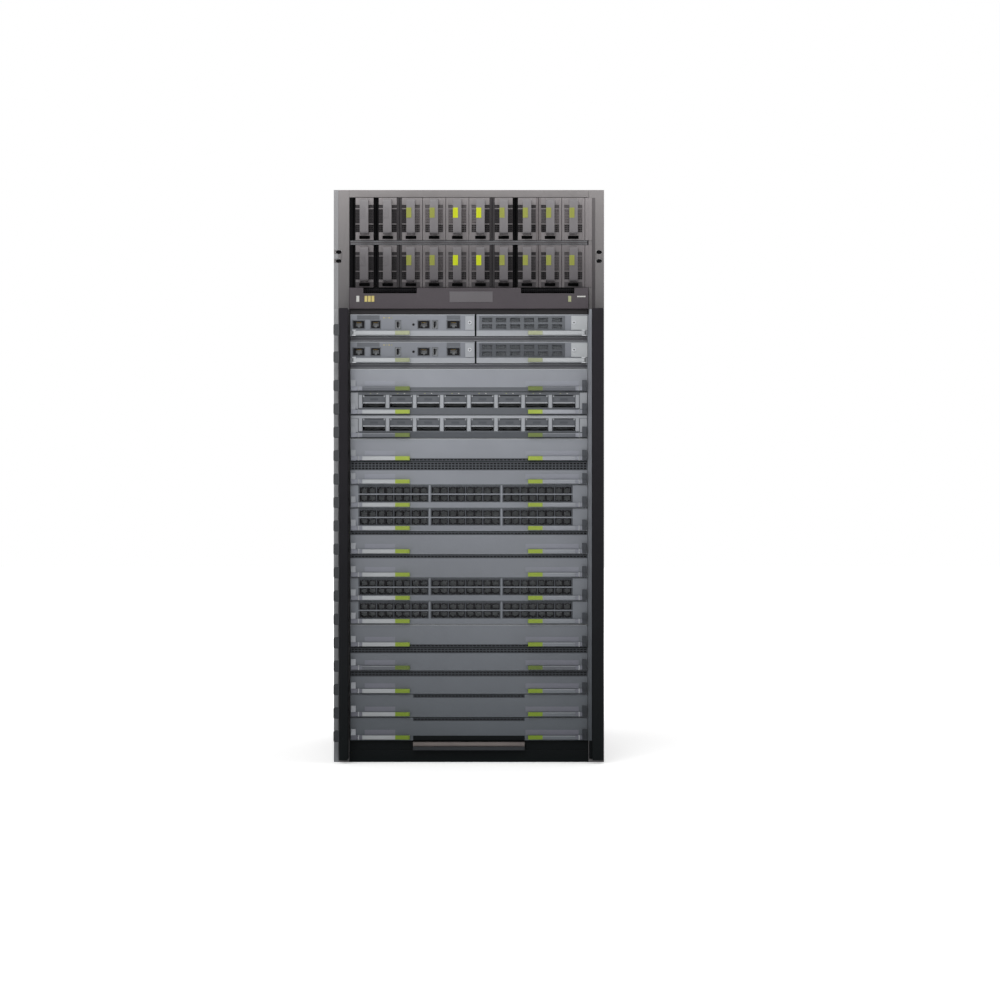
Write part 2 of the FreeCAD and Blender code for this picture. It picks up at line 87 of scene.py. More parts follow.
def about(centre: float, width: float) -> Span:
    """The limits of a width centred on a place."""
    return (centre - width / 2, centre + width / 2)


def within(half: float) -> Span:
    """The limits of a width centred on the chassis."""
    return (-half, half)


def inset(span: Span, by: float) -> Span:
    """Limits drawn in by the same amount at both ends."""
    return (span[0] + by, span[1] - by)


def over(level: float, start: float, end: float) -> Span:
    """Limits that are measured from a level."""
    return (level + start, level + end)


def skin(face: float, depth: float) -> Span:
    """The limits in depth of a thin plate in front of a face."""
    return (face - depth, face)


def middle_of(span: Span) -> float:
    """The middle between two limits."""
    return (span[0] + span[1]) / 2


def paint(code: str) -> Colour:
    """The linear colour, with full alpha, of six hexadecimal digits."""
    channels = [int(code[place:place + 2], 16) / 255 for place in (0, 2, 4)]
    return (*(c / 12.92 if c <= 0.04045 else ((c + 0.055) / 1.055) ** 2.4 for c in channels), 1.0)


def polar(centre: Span, radius: float, angle: float) -> Span:
    """The point at a radius and an angle from a centre."""
    return (centre[0] + radius * math.cos(angle), centre[1] + radius * math.sin(angle))


def circle(centre: Span, radius: float, sides: int) -> list[Span]:
    """The corners of an even polygon round a centre."""
    return [polar(centre, radius, math.tau * n / sides) for n in range(sides)]


def arc(centre: Span, radius: float, start: float, end: float, steps: int = 5) -> list[Span]:
    """The points along an arc between two angles in degrees, with its ends."""
    angles = [math.radians(start + (end - start) * n / steps) for n in range(steps + 1)]
    return [polar(centre, radius, angle) for angle in angles]


class Axis(Enum):
    """The direction that a shape runs along."""
    X = 0
    Y = 1
    Z = 2


class Side(Enum):
    """The side that a lever or an end belongs to, seen from the front."""
    LEFT = -1
    RIGHT = 1

    def of(self, span: Span) -> Span:
        """Limits across that are given for the right, on this side."""
        return span if self is Side.RIGHT else (-span[1], -span[0])


# ---- Shader nodes ----------------------------------------------------------
class Wiring:
    """Adds nodes to a tree and leads values into them."""

    def __init__(self, tree: NodeTree) -> None:
        """Takes the tree to work on."""
        self.tree = tree

    def lead(self, value: Value, socket: Socket) -> None:
        """Leads a value into a socket.

        Args:
            value: Another socket or a constant.
            socket: The socket.
        """
        if isinstance(value, Socket):
            self.tree.links.new(value, socket)
        else:
            socket.default_value = value

    def node(self, kind: str, inputs: dict[str | int, Value] | None = None,
             **settings: object) -> bpy.types.Node:
        """Adds a node.

        Args:
            kind: Its type, without the start that all shader nodes share.
            inputs: The socket or constant that goes into each named or numbered input.
            settings: Its properties.

        Returns:
            The node.
        """
        made = self.tree.nodes.new("ShaderNode" + kind)
        for key, value in settings.items():
            setattr(made, key, value)
        for label, value in (inputs or {}).items():
            self.lead(value, made.inputs[label])
        return made

    def sum_of(self, operation: str, *values: Value) -> Socket:
        """The result of a math node."""
        return self.node("Math", dict(enumerate(values)), operation=operation).outputs[0]

    def here(self) -> Socket:
        """The place on the object, in its own coordinates."""
        return self.node("TexCoord").outputs["Object"]

    def split(self, vector: Socket) -> bpy.types.NodeOutputs:
        """The three parts of a vector."""
        return self.node("SeparateXYZ", {0: vector}).outputs

    def blend(self, factor: Socket, first: Value, second: Value) -> Socket:
        """The mix of two colours."""
        return self.node("Mix", {0: factor, 6: first, 7: second}, data_type="RGBA").outputs[2]

    def span(self, value: Socket, low: float, high: float,
             source: tuple[Value, Value] = (0.0, 1.0)) -> Socket:
        """A value moved from one range to another."""
        return self.node("MapRange", {"Value": value, "From Min": source[0], "From Max": source[1],
                                      "To Min": low, "To Max": high}).outputs[0]


class EffectGroup(Wiring):
    """A shader node group under construction."""

    def __init__(self, name: str, inputs: dict[str, float | Colour], *outputs: str) -> None:
        """Makes the group with its sockets.

        Args:
            name: The group's name.
            inputs: Each input with its usual value; four numbers make a colour.
            outputs: Each output; the one named Colour is a colour.
        """
        super().__init__(bpy.data.node_groups.new(name, "ShaderNodeTree"))
        for label, value in inputs.items():
            kind = "NodeSocketColor" if isinstance(value, tuple) else "NodeSocketFloat"
            socket = self.tree.interface.new_socket(label, in_out="INPUT", socket_type=kind)
            socket.default_value = value
        for label in outputs:
            kind = "NodeSocketColor" if label == "Colour" else "NodeSocketFloat"
            self.tree.interface.new_socket(label, in_out="OUTPUT", socket_type=kind)
        self.source = self.tree.nodes.new("NodeGroupInput").outputs
        self.sink = self.tree.nodes.new("NodeGroupOutput").inputs


@cache
def powder_grain() -> NodeTree:
    """The fine orange peel of a powder coat, with a cloudy change of tone.

    Returns:
        The node group, with a height and a tone between 0 and 1.
    """
    group = EffectGroup("powder_grain", {"Scale": 900.0, "Cloud Scale": 7.0}, "Height", "Tone")
    here = group.here()
    for label, detail, result in (("Scale", 2.0, "Height"), ("Cloud Scale", 3.0, "Tone")):
        noise = group.node("TexNoise", {"Vector": here, "Scale": group.source[label], "Detail": detail})
        group.lead(noise.outputs[0], group.sink[result])
    return group.tree


@cache
def brush_lines() -> NodeTree:
    """Fine lines along X, as a brushed sheet has.

    Returns:
        The node group, with a height and a tone between 0 and 1.
    """
    group = EffectGroup("brush_lines", {"Scale": 60.0, "Stretch": 40.0}, "Height", "Tone")
    parts = group.split(group.here())
    wide = {label: group.sum_of("MULTIPLY", parts[label], group.source["Stretch"]) for label in ("Y", "Z")}
    squeezed = group.node("CombineXYZ", {"X": parts["X"], **wide}).outputs[0]
    lines = group.node("TexNoise", {"Vector": squeezed, "Scale": group.source["Scale"], "Detail": 4.0})
    for label in ("Height", "Tone"):
        group.lead(lines.outputs[0], group.sink[label])
    return group.tree


@cache
def height_fade() -> NodeTree:
    """Painted light: a colour that changes evenly between two heights, lighter above and darker below as
    light falls off towards the floor.

    Returns:
        The node group, with a colour.
    """
    group = EffectGroup("height_fade", {"Low": 0.0, "High": 1.0, "Low Colour": paint("404040"),
                                        "High Colour": paint("a0a0a0")}, "Colour")
    rise = group.span(group.split(group.here())["Z"], 0.0, 1.0, (group.source["Low"], group.source["High"]))
    mixed = group.blend(rise, group.source["Low Colour"], group.source["High Colour"])
    group.lead(mixed, group.sink["Colour"])
    return group.tree


@cache
def settled_dust() -> NodeTree:
    """Dust that lies on faces that look up.

    Returns:
        The node group, with a mask.
    """
    group = EffectGroup("settled_dust", {"Amount": 0.3}, "Mask")
    normal = group.node("NewGeometry").outputs["Normal"]
    upward = group.sum_of("SMOOTH_MAX", group.split(normal)["Z"], 0.0, 0.1)
    patches = group.node("TexNoise", {"Vector": group.here(), "Scale": 35.0, "Detail": 5.0})
    cover = group.sum_of("MULTIPLY", upward, patches.outputs[0])
    group.lead(group.sum_of("MULTIPLY", cover, group.source["Amount"]), group.sink["Mask"])
    return group.tree


class Recipe(Wiring):
    """A material under construction, with its Principled shader."""

    def __init__(self, name: str) -> None:
        """Makes the material.

        Args:
            name: Its name.
        """
        self.material = bpy.data.materials.new(name)
        self.material.use_nodes = True
        super().__init__(self.material.node_tree)
        self.shader = next(n for n in self.tree.nodes if n.type == "BSDF_PRINCIPLED")

    def effect(self, group: NodeTree, **values: float | Colour) -> bpy.types.NodeOutputs:
        """The outputs of a shared effect with its own values, which have underscores for spaces."""
        inputs = {label.replace("_", " "): value for label, value in values.items()}
        return self.node("Group", inputs, node_tree=group).outputs

    def scaled(self, colour: Value, factor: Socket) -> Socket:
        """A colour made lighter or darker by a factor."""
        return self.node("VectorMath", {0: colour, "Scale": factor}, operation="SCALE").outputs[0]

    def bump(self, height: Socket, depth: float, strength: float) -> Socket:
        """The normals of a surface whose height of 1 stands up by a depth in millimetres."""
        return self.node("Bump", {"Distance": depth * MM, "Strength": strength, "Height": height}).outputs[0]

    def finish(self, **values: Value) -> Material:
        """Leads values into the shader.

        Args:
            values: What goes into each input, with underscores for spaces.

        Returns:
            The material.
        """
        for label, value in values.items():
            self.lead(value, self.shader.inputs[label.replace("_", " ")])
        return self.material


# ---- Finishes --------------------------------------------------------------
DUST = paint("8d8a84")


@dataclass(frozen=True)
class Coat:
    """A powder coat whose tone falls from the top of its piece to the bottom: painted light, lighter where
    light falls from above and darker towards the floor.
    """
    name: str
    upper: str
    lower: str
    span: Span = (0.0, 1021.6)
    roughness: float = 0.45
    grain: float = 0.03
    dust: float = 0.25
    gloss: float = 0.4

    def material(self) -> Material:
        """Builds the material.

        Returns:
            The material.
        """
        recipe = Recipe(self.name)
        # The coat's colour by height is painted light: its upper colour at the top, its lower colour at the
        # bottom.
        painted_light = recipe.effect(height_fade(), Low=self.span[0] * MM, High=self.span[1] * MM,
                             Low_Colour=paint(self.lower), High_Colour=paint(self.upper))
        grain = recipe.effect(powder_grain())
        shaded = recipe.scaled(painted_light[0], recipe.span(grain["Tone"], 0.90, 1.08, (0.25, 0.75)))
        dust = recipe.effect(settled_dust(), Amount=self.dust)
        return recipe.finish(
            Base_Color=recipe.blend(dust[0], shaded, DUST), Specular_IOR_Level=self.gloss,
            Roughness=recipe.span(grain["Tone"], self.roughness - 0.05, self.roughness + 0.07),
            Normal=recipe.bump(grain["Height"], self.grain, 0.5))


@dataclass(frozen=True)
class Metal:
    """A bare or plated metal, brushed along X."""
    name: str
    colour: str
    roughness: float = 0.34
    metallic: float = 0.85
    lines: float = 0.02
    contrast: float = 0.12

    def material(self) -> Material:
        """Builds the material.

        Returns:
            The material.
        """
        recipe = Recipe(self.name)
        brush = recipe.effect(brush_lines())
        tone = recipe.span(brush["Tone"], 1.0 - self.contrast, 1.0 + self.contrast / 2, (0.3, 0.7))
        return recipe.finish(
            Base_Color=recipe.scaled(paint(self.colour)[:3], tone), Metallic=self.metallic,
            Roughness=recipe.span(brush["Tone"], self.roughness - 0.06, self.roughness + 0.08),
            Normal=recipe.bump(brush["Height"], self.lines, 0.4))


@dataclass(frozen=True)
class Plastic:
    """A moulded plastic with a fine spark texture."""
    name: str
    colour: str
    shade: str
    roughness: float = 0.5
    gloss: float = 0.3
    texture: float = 0.02

    def material(self) -> Material:
        """Builds the material.

        Returns:
            The material.
        """
        recipe = Recipe(self.name)
        grain = recipe.effect(powder_grain(), Scale=1500.0, Cloud_Scale=12.0)
        cloud = recipe.span(grain["Tone"], 0.0, 1.0, (0.3, 0.7))
        return recipe.finish(
            Base_Color=recipe.blend(cloud, paint(self.shade), paint(self.colour)),
            Specular_IOR_Level=self.gloss,
            Roughness=recipe.span(grain["Tone"], self.roughness - 0.06, self.roughness + 0.06),
            Normal=recipe.bump(grain["Height"], self.texture, 0.5))


@dataclass(frozen=True)
class Laminate:
    """A lacquered circuit board with copper tracks under the lacquer."""
    name: str
    lacquer: str
    track: str

    def material(self) -> Material:
        """Builds the material.

        Returns:
            The material.
        """
        recipe = Recipe(self.name)
        cells = recipe.node("TexVoronoi", {"Vector": recipe.here(), "Scale": 110.0}, distance="CHEBYCHEV")
        mask = recipe.span(cells.outputs["Distance"], 0.0, 1.0, (0.30, 0.36))
        grain = recipe.effect(powder_grain(), Scale=400.0)
        return recipe.finish(Base_Color=recipe.blend(mask, paint(self.lacquer), paint(self.track)),
                             Roughness=recipe.span(grain["Tone"], 0.28, 0.42),
                             Normal=recipe.bump(mask, 0.05, 0.4))


@dataclass(frozen=True)
class Foam:
    """An open-celled filter mat."""
    name: str
    colour: str
    pore: str

    def material(self) -> Material:
        """Builds the material.

        Returns:
            The material.
        """
        recipe = Recipe(self.name)
        pores = recipe.node("TexVoronoi", {"Vector": recipe.here(), "Scale": 420.0})
        depth = recipe.span(pores.outputs["Distance"], 0.0, 1.0, (0.1, 0.6))
        grain = recipe.effect(powder_grain(), Scale=700.0)
        return recipe.finish(Base_Color=recipe.blend(depth, paint(self.pore), paint(self.colour)),
                             Roughness=recipe.span(grain["Tone"], 0.85, 0.98),
                             Normal=recipe.bump(depth, 0.6, 0.8))


@dataclass(frozen=True)
class Lens:
    """A small unlit light pipe or lens."""
    name: str
    colour: str

    def material(self) -> Material:
        """Builds the material.

        Returns:
            The material.
        """
        recipe = Recipe(self.name)
        haze = recipe.span(recipe.effect(powder_grain(), Scale=600.0)["Tone"], 0.0, 0.35)
        return recipe.finish(Base_Color=recipe.blend(haze, paint(self.colour), paint("f4f4f0")),
                             Roughness=0.18, Coat_Weight=0.5)


class Finish(Enum):
    """Every finish of the switch."""
    # Each coat goes from its upper colour at the top of its span to its lower colour at the bottom: painted
    # light, darker towards the floor.
    CHASSIS = Coat("chassis_coat", "8f8b8b", "5f5d5e", (811.0, 1021.6), gloss=0.25)
    EDGE = Coat("edge_coat", "969698", "606265", (0.0, 1021.6), gloss=0.25)
    FLANGE = Coat("flange_coat", "9a9b9d", "797b7e", (0.0, 811.0), gloss=0.25)
    SHELL = Coat("shell_coat", "807d7d", "6a686b", (0.0, 1021.6), gloss=0.25)
    BLACK_COAT = Coat("black_coat", "2a282c", "0b0f10", (0.0, 830.0), 0.5, dust=0.1, gloss=0.06)
    FINGER = Coat("finger_coat", "4f5052", "2f3134", (0.0, 830.0), 0.45, dust=0.1, gloss=0.1)
    RAIL_COAT = Coat("rail_coat", "5a5758", "4c4d52", (700.0, 1021.6), gloss=0.2)
    BEZEL = Coat("bezel_coat", "504b4f", "4c474b", (808.0, 847.0), 0.42, gloss=0.15)
    NAMEPLATE = Coat("nameplate_coat", "686568", "625f62", (808.0, 847.0), 0.36, gloss=0.2)
    CARD = Coat("card_coat", "93969d", "464b50", (0.0, 720.0), 0.42, gloss=0.25)
    FIELD = Coat("field_coat", "54575c", "2b2e32", (0.0, 720.0), 0.5, gloss=0.15)
    BAY = Coat("bay_coat", "64676c", "54575c", (560.0, 720.0), 0.45, gloss=0.2)
    POWER_FACE = Coat("power_face_coat", "979293", "646062", (847.0, 1008.0), 0.42, gloss=0.2)
    # The power mesh coat is the face coat darkened as painted shade in the recessed mesh; the power shade and
    # power dark coats are deeper painted-shade copies of it for vents, gaps and recesses.
    POWER_MESH = Coat("power_mesh_coat", "857f80", "585456", (847.0, 1008.0), 0.45, gloss=0.15)
    POWER_SHADE = Coat("power_shade_coat", "6a6667", "423f41", (847.0, 1008.0), 0.48, gloss=0.15)
    POWER_DARK = Coat("power_dark_coat", "413e40", "2e2c2e", (847.0, 1008.0), 0.5, gloss=0.15)
    STRAP = Coat("strap_coat", "838082", "555255", (847.0, 1008.0), 0.36, gloss=0.25)
    CONTROL = Coat("control_coat", "868990", "7a7d84", (711.0, 800.0), 0.38, gloss=0.25)
    LIGHT = Coat("light_coat", "a2a5aa", "989ba0", (560.0, 800.0), 0.36, gloss=0.3)
    BRIGHT = Metal("bright_nickel", "c6c8cc", 0.3, 0.9)
    LEVER = Coat("lever_coat", "b4b7ba", "8e9193", (30.0, 720.0), 0.34, gloss=0.3)
    # The right-hand levers wear this painted-shade copy of the lever coat, and levers in shadow the darker
    # painted-shadow copy below it.
    LEVER_SHADE = Coat("lever_shade_coat", "a0a3aa", "565b60", (30.0, 720.0), 0.36, gloss=0.3)
    LEVER_DIM = Coat("lever_dim_coat", "65686e", "585b60", (30.0, 720.0), 0.42, gloss=0.2)
    LEVER_PLATE = Coat("lever_plate_coat", "989ba4", "5c5d66", (30.0, 720.0), 0.4, gloss=0.25)
    DULL = Metal("zinc_plate", "9a9da0", 0.42, 0.8)
    ALUMINIUM = Metal("heat_sink_aluminium", "a8abae", 0.38, 0.9)
    GOLD = Metal("gold_contact", "c9a24a", 0.25, 1.0)
    LIME = Coat("lime_coat", "a4b450", "667c20", (30.0, 720.0), 0.36, grain=0.015, dust=0.05, gloss=0.25)
    # Tips of levers in shadow wear this painted-shadow copy of the lime coat.
    LIME_SHADE = Coat("lime_shade_coat", "707c4a", "52622a", (30.0, 720.0), 0.4, 0.015, 0.05, 0.2)
    LIME_PALE = Coat("lime_pale_coat", "b2b696", "989e80", (711.0, 800.0), 0.4, 0.015, 0.05, 0.2)
    LATCH = Coat("latch_coat", "c9d01e", "b8c418", (847.0, 1008.0), 0.36, 0.015, 0.05, 0.25)
    # A painted-shade copy of the latch coat, for latches that look dim.
    LATCH_SHADE = Coat("latch_shade_coat", "989c4c", "868a40", (847.0, 1008.0), 0.4, 0.015, 0.05, 0.2)
    BLACK = Plastic("black_plastic", "201f21", "171619", 0.5, 0.12)
    # Near-black for the inside of holes, slots and recesses: painted shade.
    CAVITY = Plastic("cavity_black", "0c0c0e", "070708", 0.75, 0.08)
    SOCKET = Plastic("socket_plastic", "1a1a1d", "121214", 0.5, 0.12)
    AMBER = Lens("amber_lens", "b9a530")
    GREEN = Lens("green_lens", "787d2c")
    CLEAR = Lens("clear_lens", "b4b4b0")
    BOARD = Laminate("circuit_board", "0f3f29", "1a5437")
    CHIP = Plastic("chip_epoxy", "1b1b1d", "141416", 0.4, 0.4)
    FILTER_FRAME = Plastic("filter_frame", "6b6461", "5a5452", 0.55, 0.3)
    FOAM = Foam("filter_foam", "3b3a38", "141413")

    @cache
    def material(self) -> Material:
        """The finish's material, built once."""
        return self.value.material()


# ---- Meshes ----------------------------------------------------------------
WALLS = (((0, 0), "000 100 101 001"), ((0, 0), "010 011 111 110"), ((-1, 0), "000 001 011 010"),
         ((1, 0), "100 110 111 101"), ((0, -1), "000 010 110 100"), ((0, 1), "001 101 111 011"))


@dataclass(frozen=True)
class NodeBox:
    """The room that a CAD node takes at rest, in millimetres from the rack plane."""
    x: Span
    y: Span
    z: Span

    @classmethod
    def of(cls, node: str) -> "NodeBox":
        """The box of a named node."""
        low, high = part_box(node)
        return cls((low.x / MM, high.x / MM), (low.y / MM - RACK_PLANE, high.y / MM - RACK_PLANE),
                   (low.z / MM, high.z / MM))


class Workpiece:
    """Gathers solids that share a body and turns them into one object."""

    def __init__(self, name: str) -> None:
        """Starts an empty piece.

        Args:
            name: The object's name.
        """
        self.name = name
        self.mesh = bmesh.new()
        self.finishes: list[Finish] = []

    def _index(self, finish: Finish) -> int:
        """The material index of a finish, added if it is new."""
        if finish not in self.finishes:
            self.finishes.append(finish)
        return self.finishes.index(finish)

    def solid(self, corners: list[Corner], faces: list[tuple[int, ...]], finish: Finish) -> None:
        """Adds a closed solid.

        Args:
            corners: Its corners.
            faces: The corners of each face, by number.
            finish: The finish that it wears.
        """
        made = [self.mesh.verts.new((x * MM, (y + RACK_PLANE) * MM, z * MM)) for x, y, z in corners]
        index = self._index(finish)
        for face in faces:
            self.mesh.faces.new([made[number] for number in face]).material_index = index

    def block(self, x: Span, y: Span, z: Span, finish: Finish) -> None:
        """Adds a box between three pairs of limits."""
        faces = [(0, 1, 3, 2), (4, 6, 7, 5), (0, 4, 5, 1), (2, 3, 7, 6), (0, 2, 6, 4), (1, 5, 7, 3)]
        self.solid([(a, b, c) for a in x for b in y for c in z], faces, finish)

    @staticmethod
    def _layers(outline: list[Span], axis: Axis, span: Span) -> list[Corner]:
        """The corners of an outline at both ends of a span of its axis."""
        return [(*place[:axis.value], level, *place[axis.value:]) for level in span for place in outline]

    def prism(self, outline: list[Span], axis: Axis, span: Span, finish: Finish) -> None:
        """Adds an outline drawn out along an axis.

        Args:
            outline: Its corners on the other two axes, in X, Y, Z order.
            axis: The axis it is drawn along.
            span: Where it starts and ends.
            finish: The finish that it wears.
        """
        count = len(outline)
        sides = [(n, (n + 1) % count, count + (n + 1) % count, count + n) for n in range(count)]
        caps = [tuple(reversed(range(count))), tuple(range(count, 2 * count))]
        self.solid(self._layers(outline, axis, span), sides + caps, finish)

    def rod(self, centre: Span, radius: float, axis: Axis, span: Span, finish: Finish,
            sides: int = 20) -> None:
        """Adds a round bar along an axis."""
        self.prism(circle(centre, radius, sides), axis, span, finish)

    def ring(self, centre: Span, radii: Span, axis: Axis, span: Span, finish: Finish,
             sides: int = 36) -> None:
        """Adds a flat ring around an axis.

        Args:
            centre: Its middle on the other two axes.
            radii: The radius of the hole and of the rim.
            axis: The axis it goes round.
            span: Where it starts and ends.
            finish: The finish that it wears.
            sides: The number of facets.
        """
        corners = [corner for radius in radii
                   for corner in self._layers(circle(centre, radius, sides), axis, span)]
        faces = []
        for n in range(sides):
            m = (n + 1) % sides
            for p, q, a, b in ((0, 1, n, m), (2, 3, m, n), (0, 2, m, n), (1, 3, n, m)):
                faces.append((p * sides + a, p * sides + b, q * sides + b, q * sides + a))
        self.solid(corners, faces, finish)

    def pierced(self, x: Span, y: Span, z: Span, cells: tuple[int, int], bar: float,
                finish: Finish) -> None:
        """Adds a plate across Y with rows of rectangular holes.

        Args:
            x: Its limits across.
            y: Its front and back.
            z: Its limits in height.
            cells: How many holes there are across and up.
            bar: The width of the bars between holes and round the edge.
            finish: The finish that it wears.
        """
        lines = []
        for span, count in zip((x, z), cells):
            pitch = (span[1] - span[0] - bar) / count
            edges = [over(span[0] + n * pitch, bar, pitch) for n in range(count)]
            lines.append([span[0], *(edge for pair in edges for edge in pair), span[1]])
        self.lattice(lines[0], lines[1], y, lambda i, k: i % 2 == 1 and k % 2 == 1, finish)

    def windowed(self, x: Span, y: Span, z: Span, windows: list[Window], finish: Finish) -> None:
        """Adds a plate across Y with rectangular windows anywhere in it.

        Args:
            x: Its limits across.
            y: Its front and back.
            z: Its limits in height.
            windows: Each window's limits across and up.
            finish: The finish that it wears.
        """
        columns = sorted({round(edge, 4) for edge in [*x, *(e for across, _ in windows for e in across)]})
        rows = sorted({round(edge, 4) for edge in [*z, *(e for _, up in windows for e in up)]})

        def opened(i: int, k: int) -> bool:
            """Whether a cell lies in a window."""
            here = ((columns[i] + columns[i + 1]) / 2, (rows[k] + rows[k + 1]) / 2)
            return any(a[0] < here[0] < a[1] and u[0] < here[1] < u[1] for a, u in windows)

        cells = {(i, k) for i in range(len(columns) - 1) for k in range(len(rows) - 1) if opened(i, k)}
        self.lattice(columns, rows, y, lambda i, k: (i, k) in cells, finish)

    def lattice(self, columns: list[float], rows: list[float], y: Span,
                hole: Callable[[int, int], bool], finish: Finish) -> None:
        """Adds a plate across Y, cut into cells of which some are left open.

        Args:
            columns: The lines between cells, across.
            rows: The lines between cells, up.
            y: Its front and back.
            hole: Tells whether a cell is open.
            finish: The finish that it wears.
        """
        index = self._index(finish)

        @cache
        def vertex(i: int, level: int, k: int) -> bmesh.types.BMVert:
            """The vertex at a crossing of lines, made once."""
            return self.mesh.verts.new((columns[i] * MM, (y[level] + RACK_PLANE) * MM, rows[k] * MM))

        filled = {(i, k) for i in range(len(columns) - 1) for k in range(len(rows) - 1) if not hole(i, k)}
        for i, k in sorted(filled):
            for (across, up), corners in WALLS:
                if (across, up) == (0, 0) or (i + across, k + up) not in filled:
                    loop = [vertex(i + int(c[0]), int(c[1]), k + int(c[2])) for c in corners.split()]
                    self.mesh.faces.new(loop).material_index = index

    def place(self, body: str, slot: str, bevel: float = 0.25) -> Piece:
        """Turns what was gathered into an object on a body.

        Args:
            body: The CAD body that it rides on.
            slot: The record's material slot; not used.
            bevel: The width of the bevel on its edges.

        Returns:
            The object.
        """
        data = bpy.data.meshes.new(self.name)
        bmesh.ops.recalc_face_normals(self.mesh, faces=self.mesh.faces)
        self.mesh.to_mesh(data)
        self.mesh.free()
        for finish in self.finishes:
            data.materials.append(finish.material())
        data.polygons.foreach_set("use_smooth", [True] * len(data.polygons))
        data.set_sharp_from_angle(angle=math.radians(35))
        piece = bpy.data.objects.new(self.name, data)
        bpy.context.scene.collection.objects.link(piece)
        round_edges(piece, bevel)
        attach(piece, body)
        return piece


def round_edges(piece: Piece, bevel: float) -> None:
    """Rounds a piece's edges.

    Args:
        piece: The object.
        bevel: The width of the bevel.
    """
    rounding = piece.modifiers.new("edge_rounding", "BEVEL")
    rounding.width = bevel * MM
    rounding.segments = 1
    rounding.limit_method = "ANGLE"
    rounding.angle_limit = math.radians(40)
    rounding.harden_normals = True


def wear(node: str, finish: Finish, bevel: float = 0.4) -> None:
    """Gives a CAD node its finish and rounds its edges.

    Args:
        node: The CAD node.
        finish: The finish.
        bevel: The width of the bevel.
    """
    piece = frame["nodes"][node]
    piece.data.materials.clear()
    piece.data.materials.append(finish.material())
    piece.modifiers.new("seam_weld", "WELD").merge_threshold = 0.01 * MM
    round_edges(piece, bevel)


# ---- Fine parts used all over ----------------------------------------------
# How far the opening for the modules and cards reaches on each side of the middle.
HALF_OPENING = 211.5
# Where the tip of a lever starts and ends, from the middle of the chassis.
LEVER_TIP = (105.5, 131.5)


def screw_head(work: Workpiece, axis: Axis, centre: Span, face: float, outward: int, radius: float) -> None:
    """Adds a pan-head screw whose cross recess is a thin dark cross painted on the head as shade.

    Args:
        work: The piece it belongs to.
        axis: The axis it points along.
        centre: Its middle on the other two axes.
        face: The surface that it sits on.
        outward: 1 if it points along the axis, -1 if against it.
        radius: The head's radius.
    """
    rise, recess_shade, arms = 0.5, 0.06, (0.6, 0.14)
    top = face + outward * radius * rise
    work.rod(centre, radius, axis, (min(face, top), max(face, top)), Finish.BRIGHT, 16)
    # The cross recess is painted: two thin black bars standing in for its shade.
    for long, short in (arms, arms[::-1]):
        sides = [about(centre[0], 2 * radius * long), about(centre[1], 2 * radius * short)]
        sides.insert(axis.value, (min(top, top + outward * recess_shade), max(top, top + outward * recess_shade)))
        work.block(*sides, Finish.CAVITY)


def lever_tip(work: Workpiece, side: Side, y: Span, nose: float, z: Span, finish: Finish) -> None:
    """Adds the ribbed tip of a lever, which swells towards the middle of the chassis.

    Args:
        work: The piece it belongs to.
        side: The lever's side.
        y: The front and back of its bar.
        nose: How far forward it swells.
        z: Its limits in height.
        finish: Its finish.
    """
    inner, outer = LEVER_TIP
    outline = [(outer, y[1]), (outer, y[0]), (inner + 2.0, nose), (inner, nose + 1.5), (inner, y[1])]
    work.prism([(side.value * x, depth) for x, depth in outline], Axis.Z, z, finish)
    for rib in range(4):
        place = inner + 6.0 + rib * 4.0
        face = y[0] + (nose - y[0]) * (outer - place) / (outer - inner - 2.0)
        work.block(about(side.value * place, 1.2), over(face, -0.1, 1.2), inset(z, 1.0), finish)


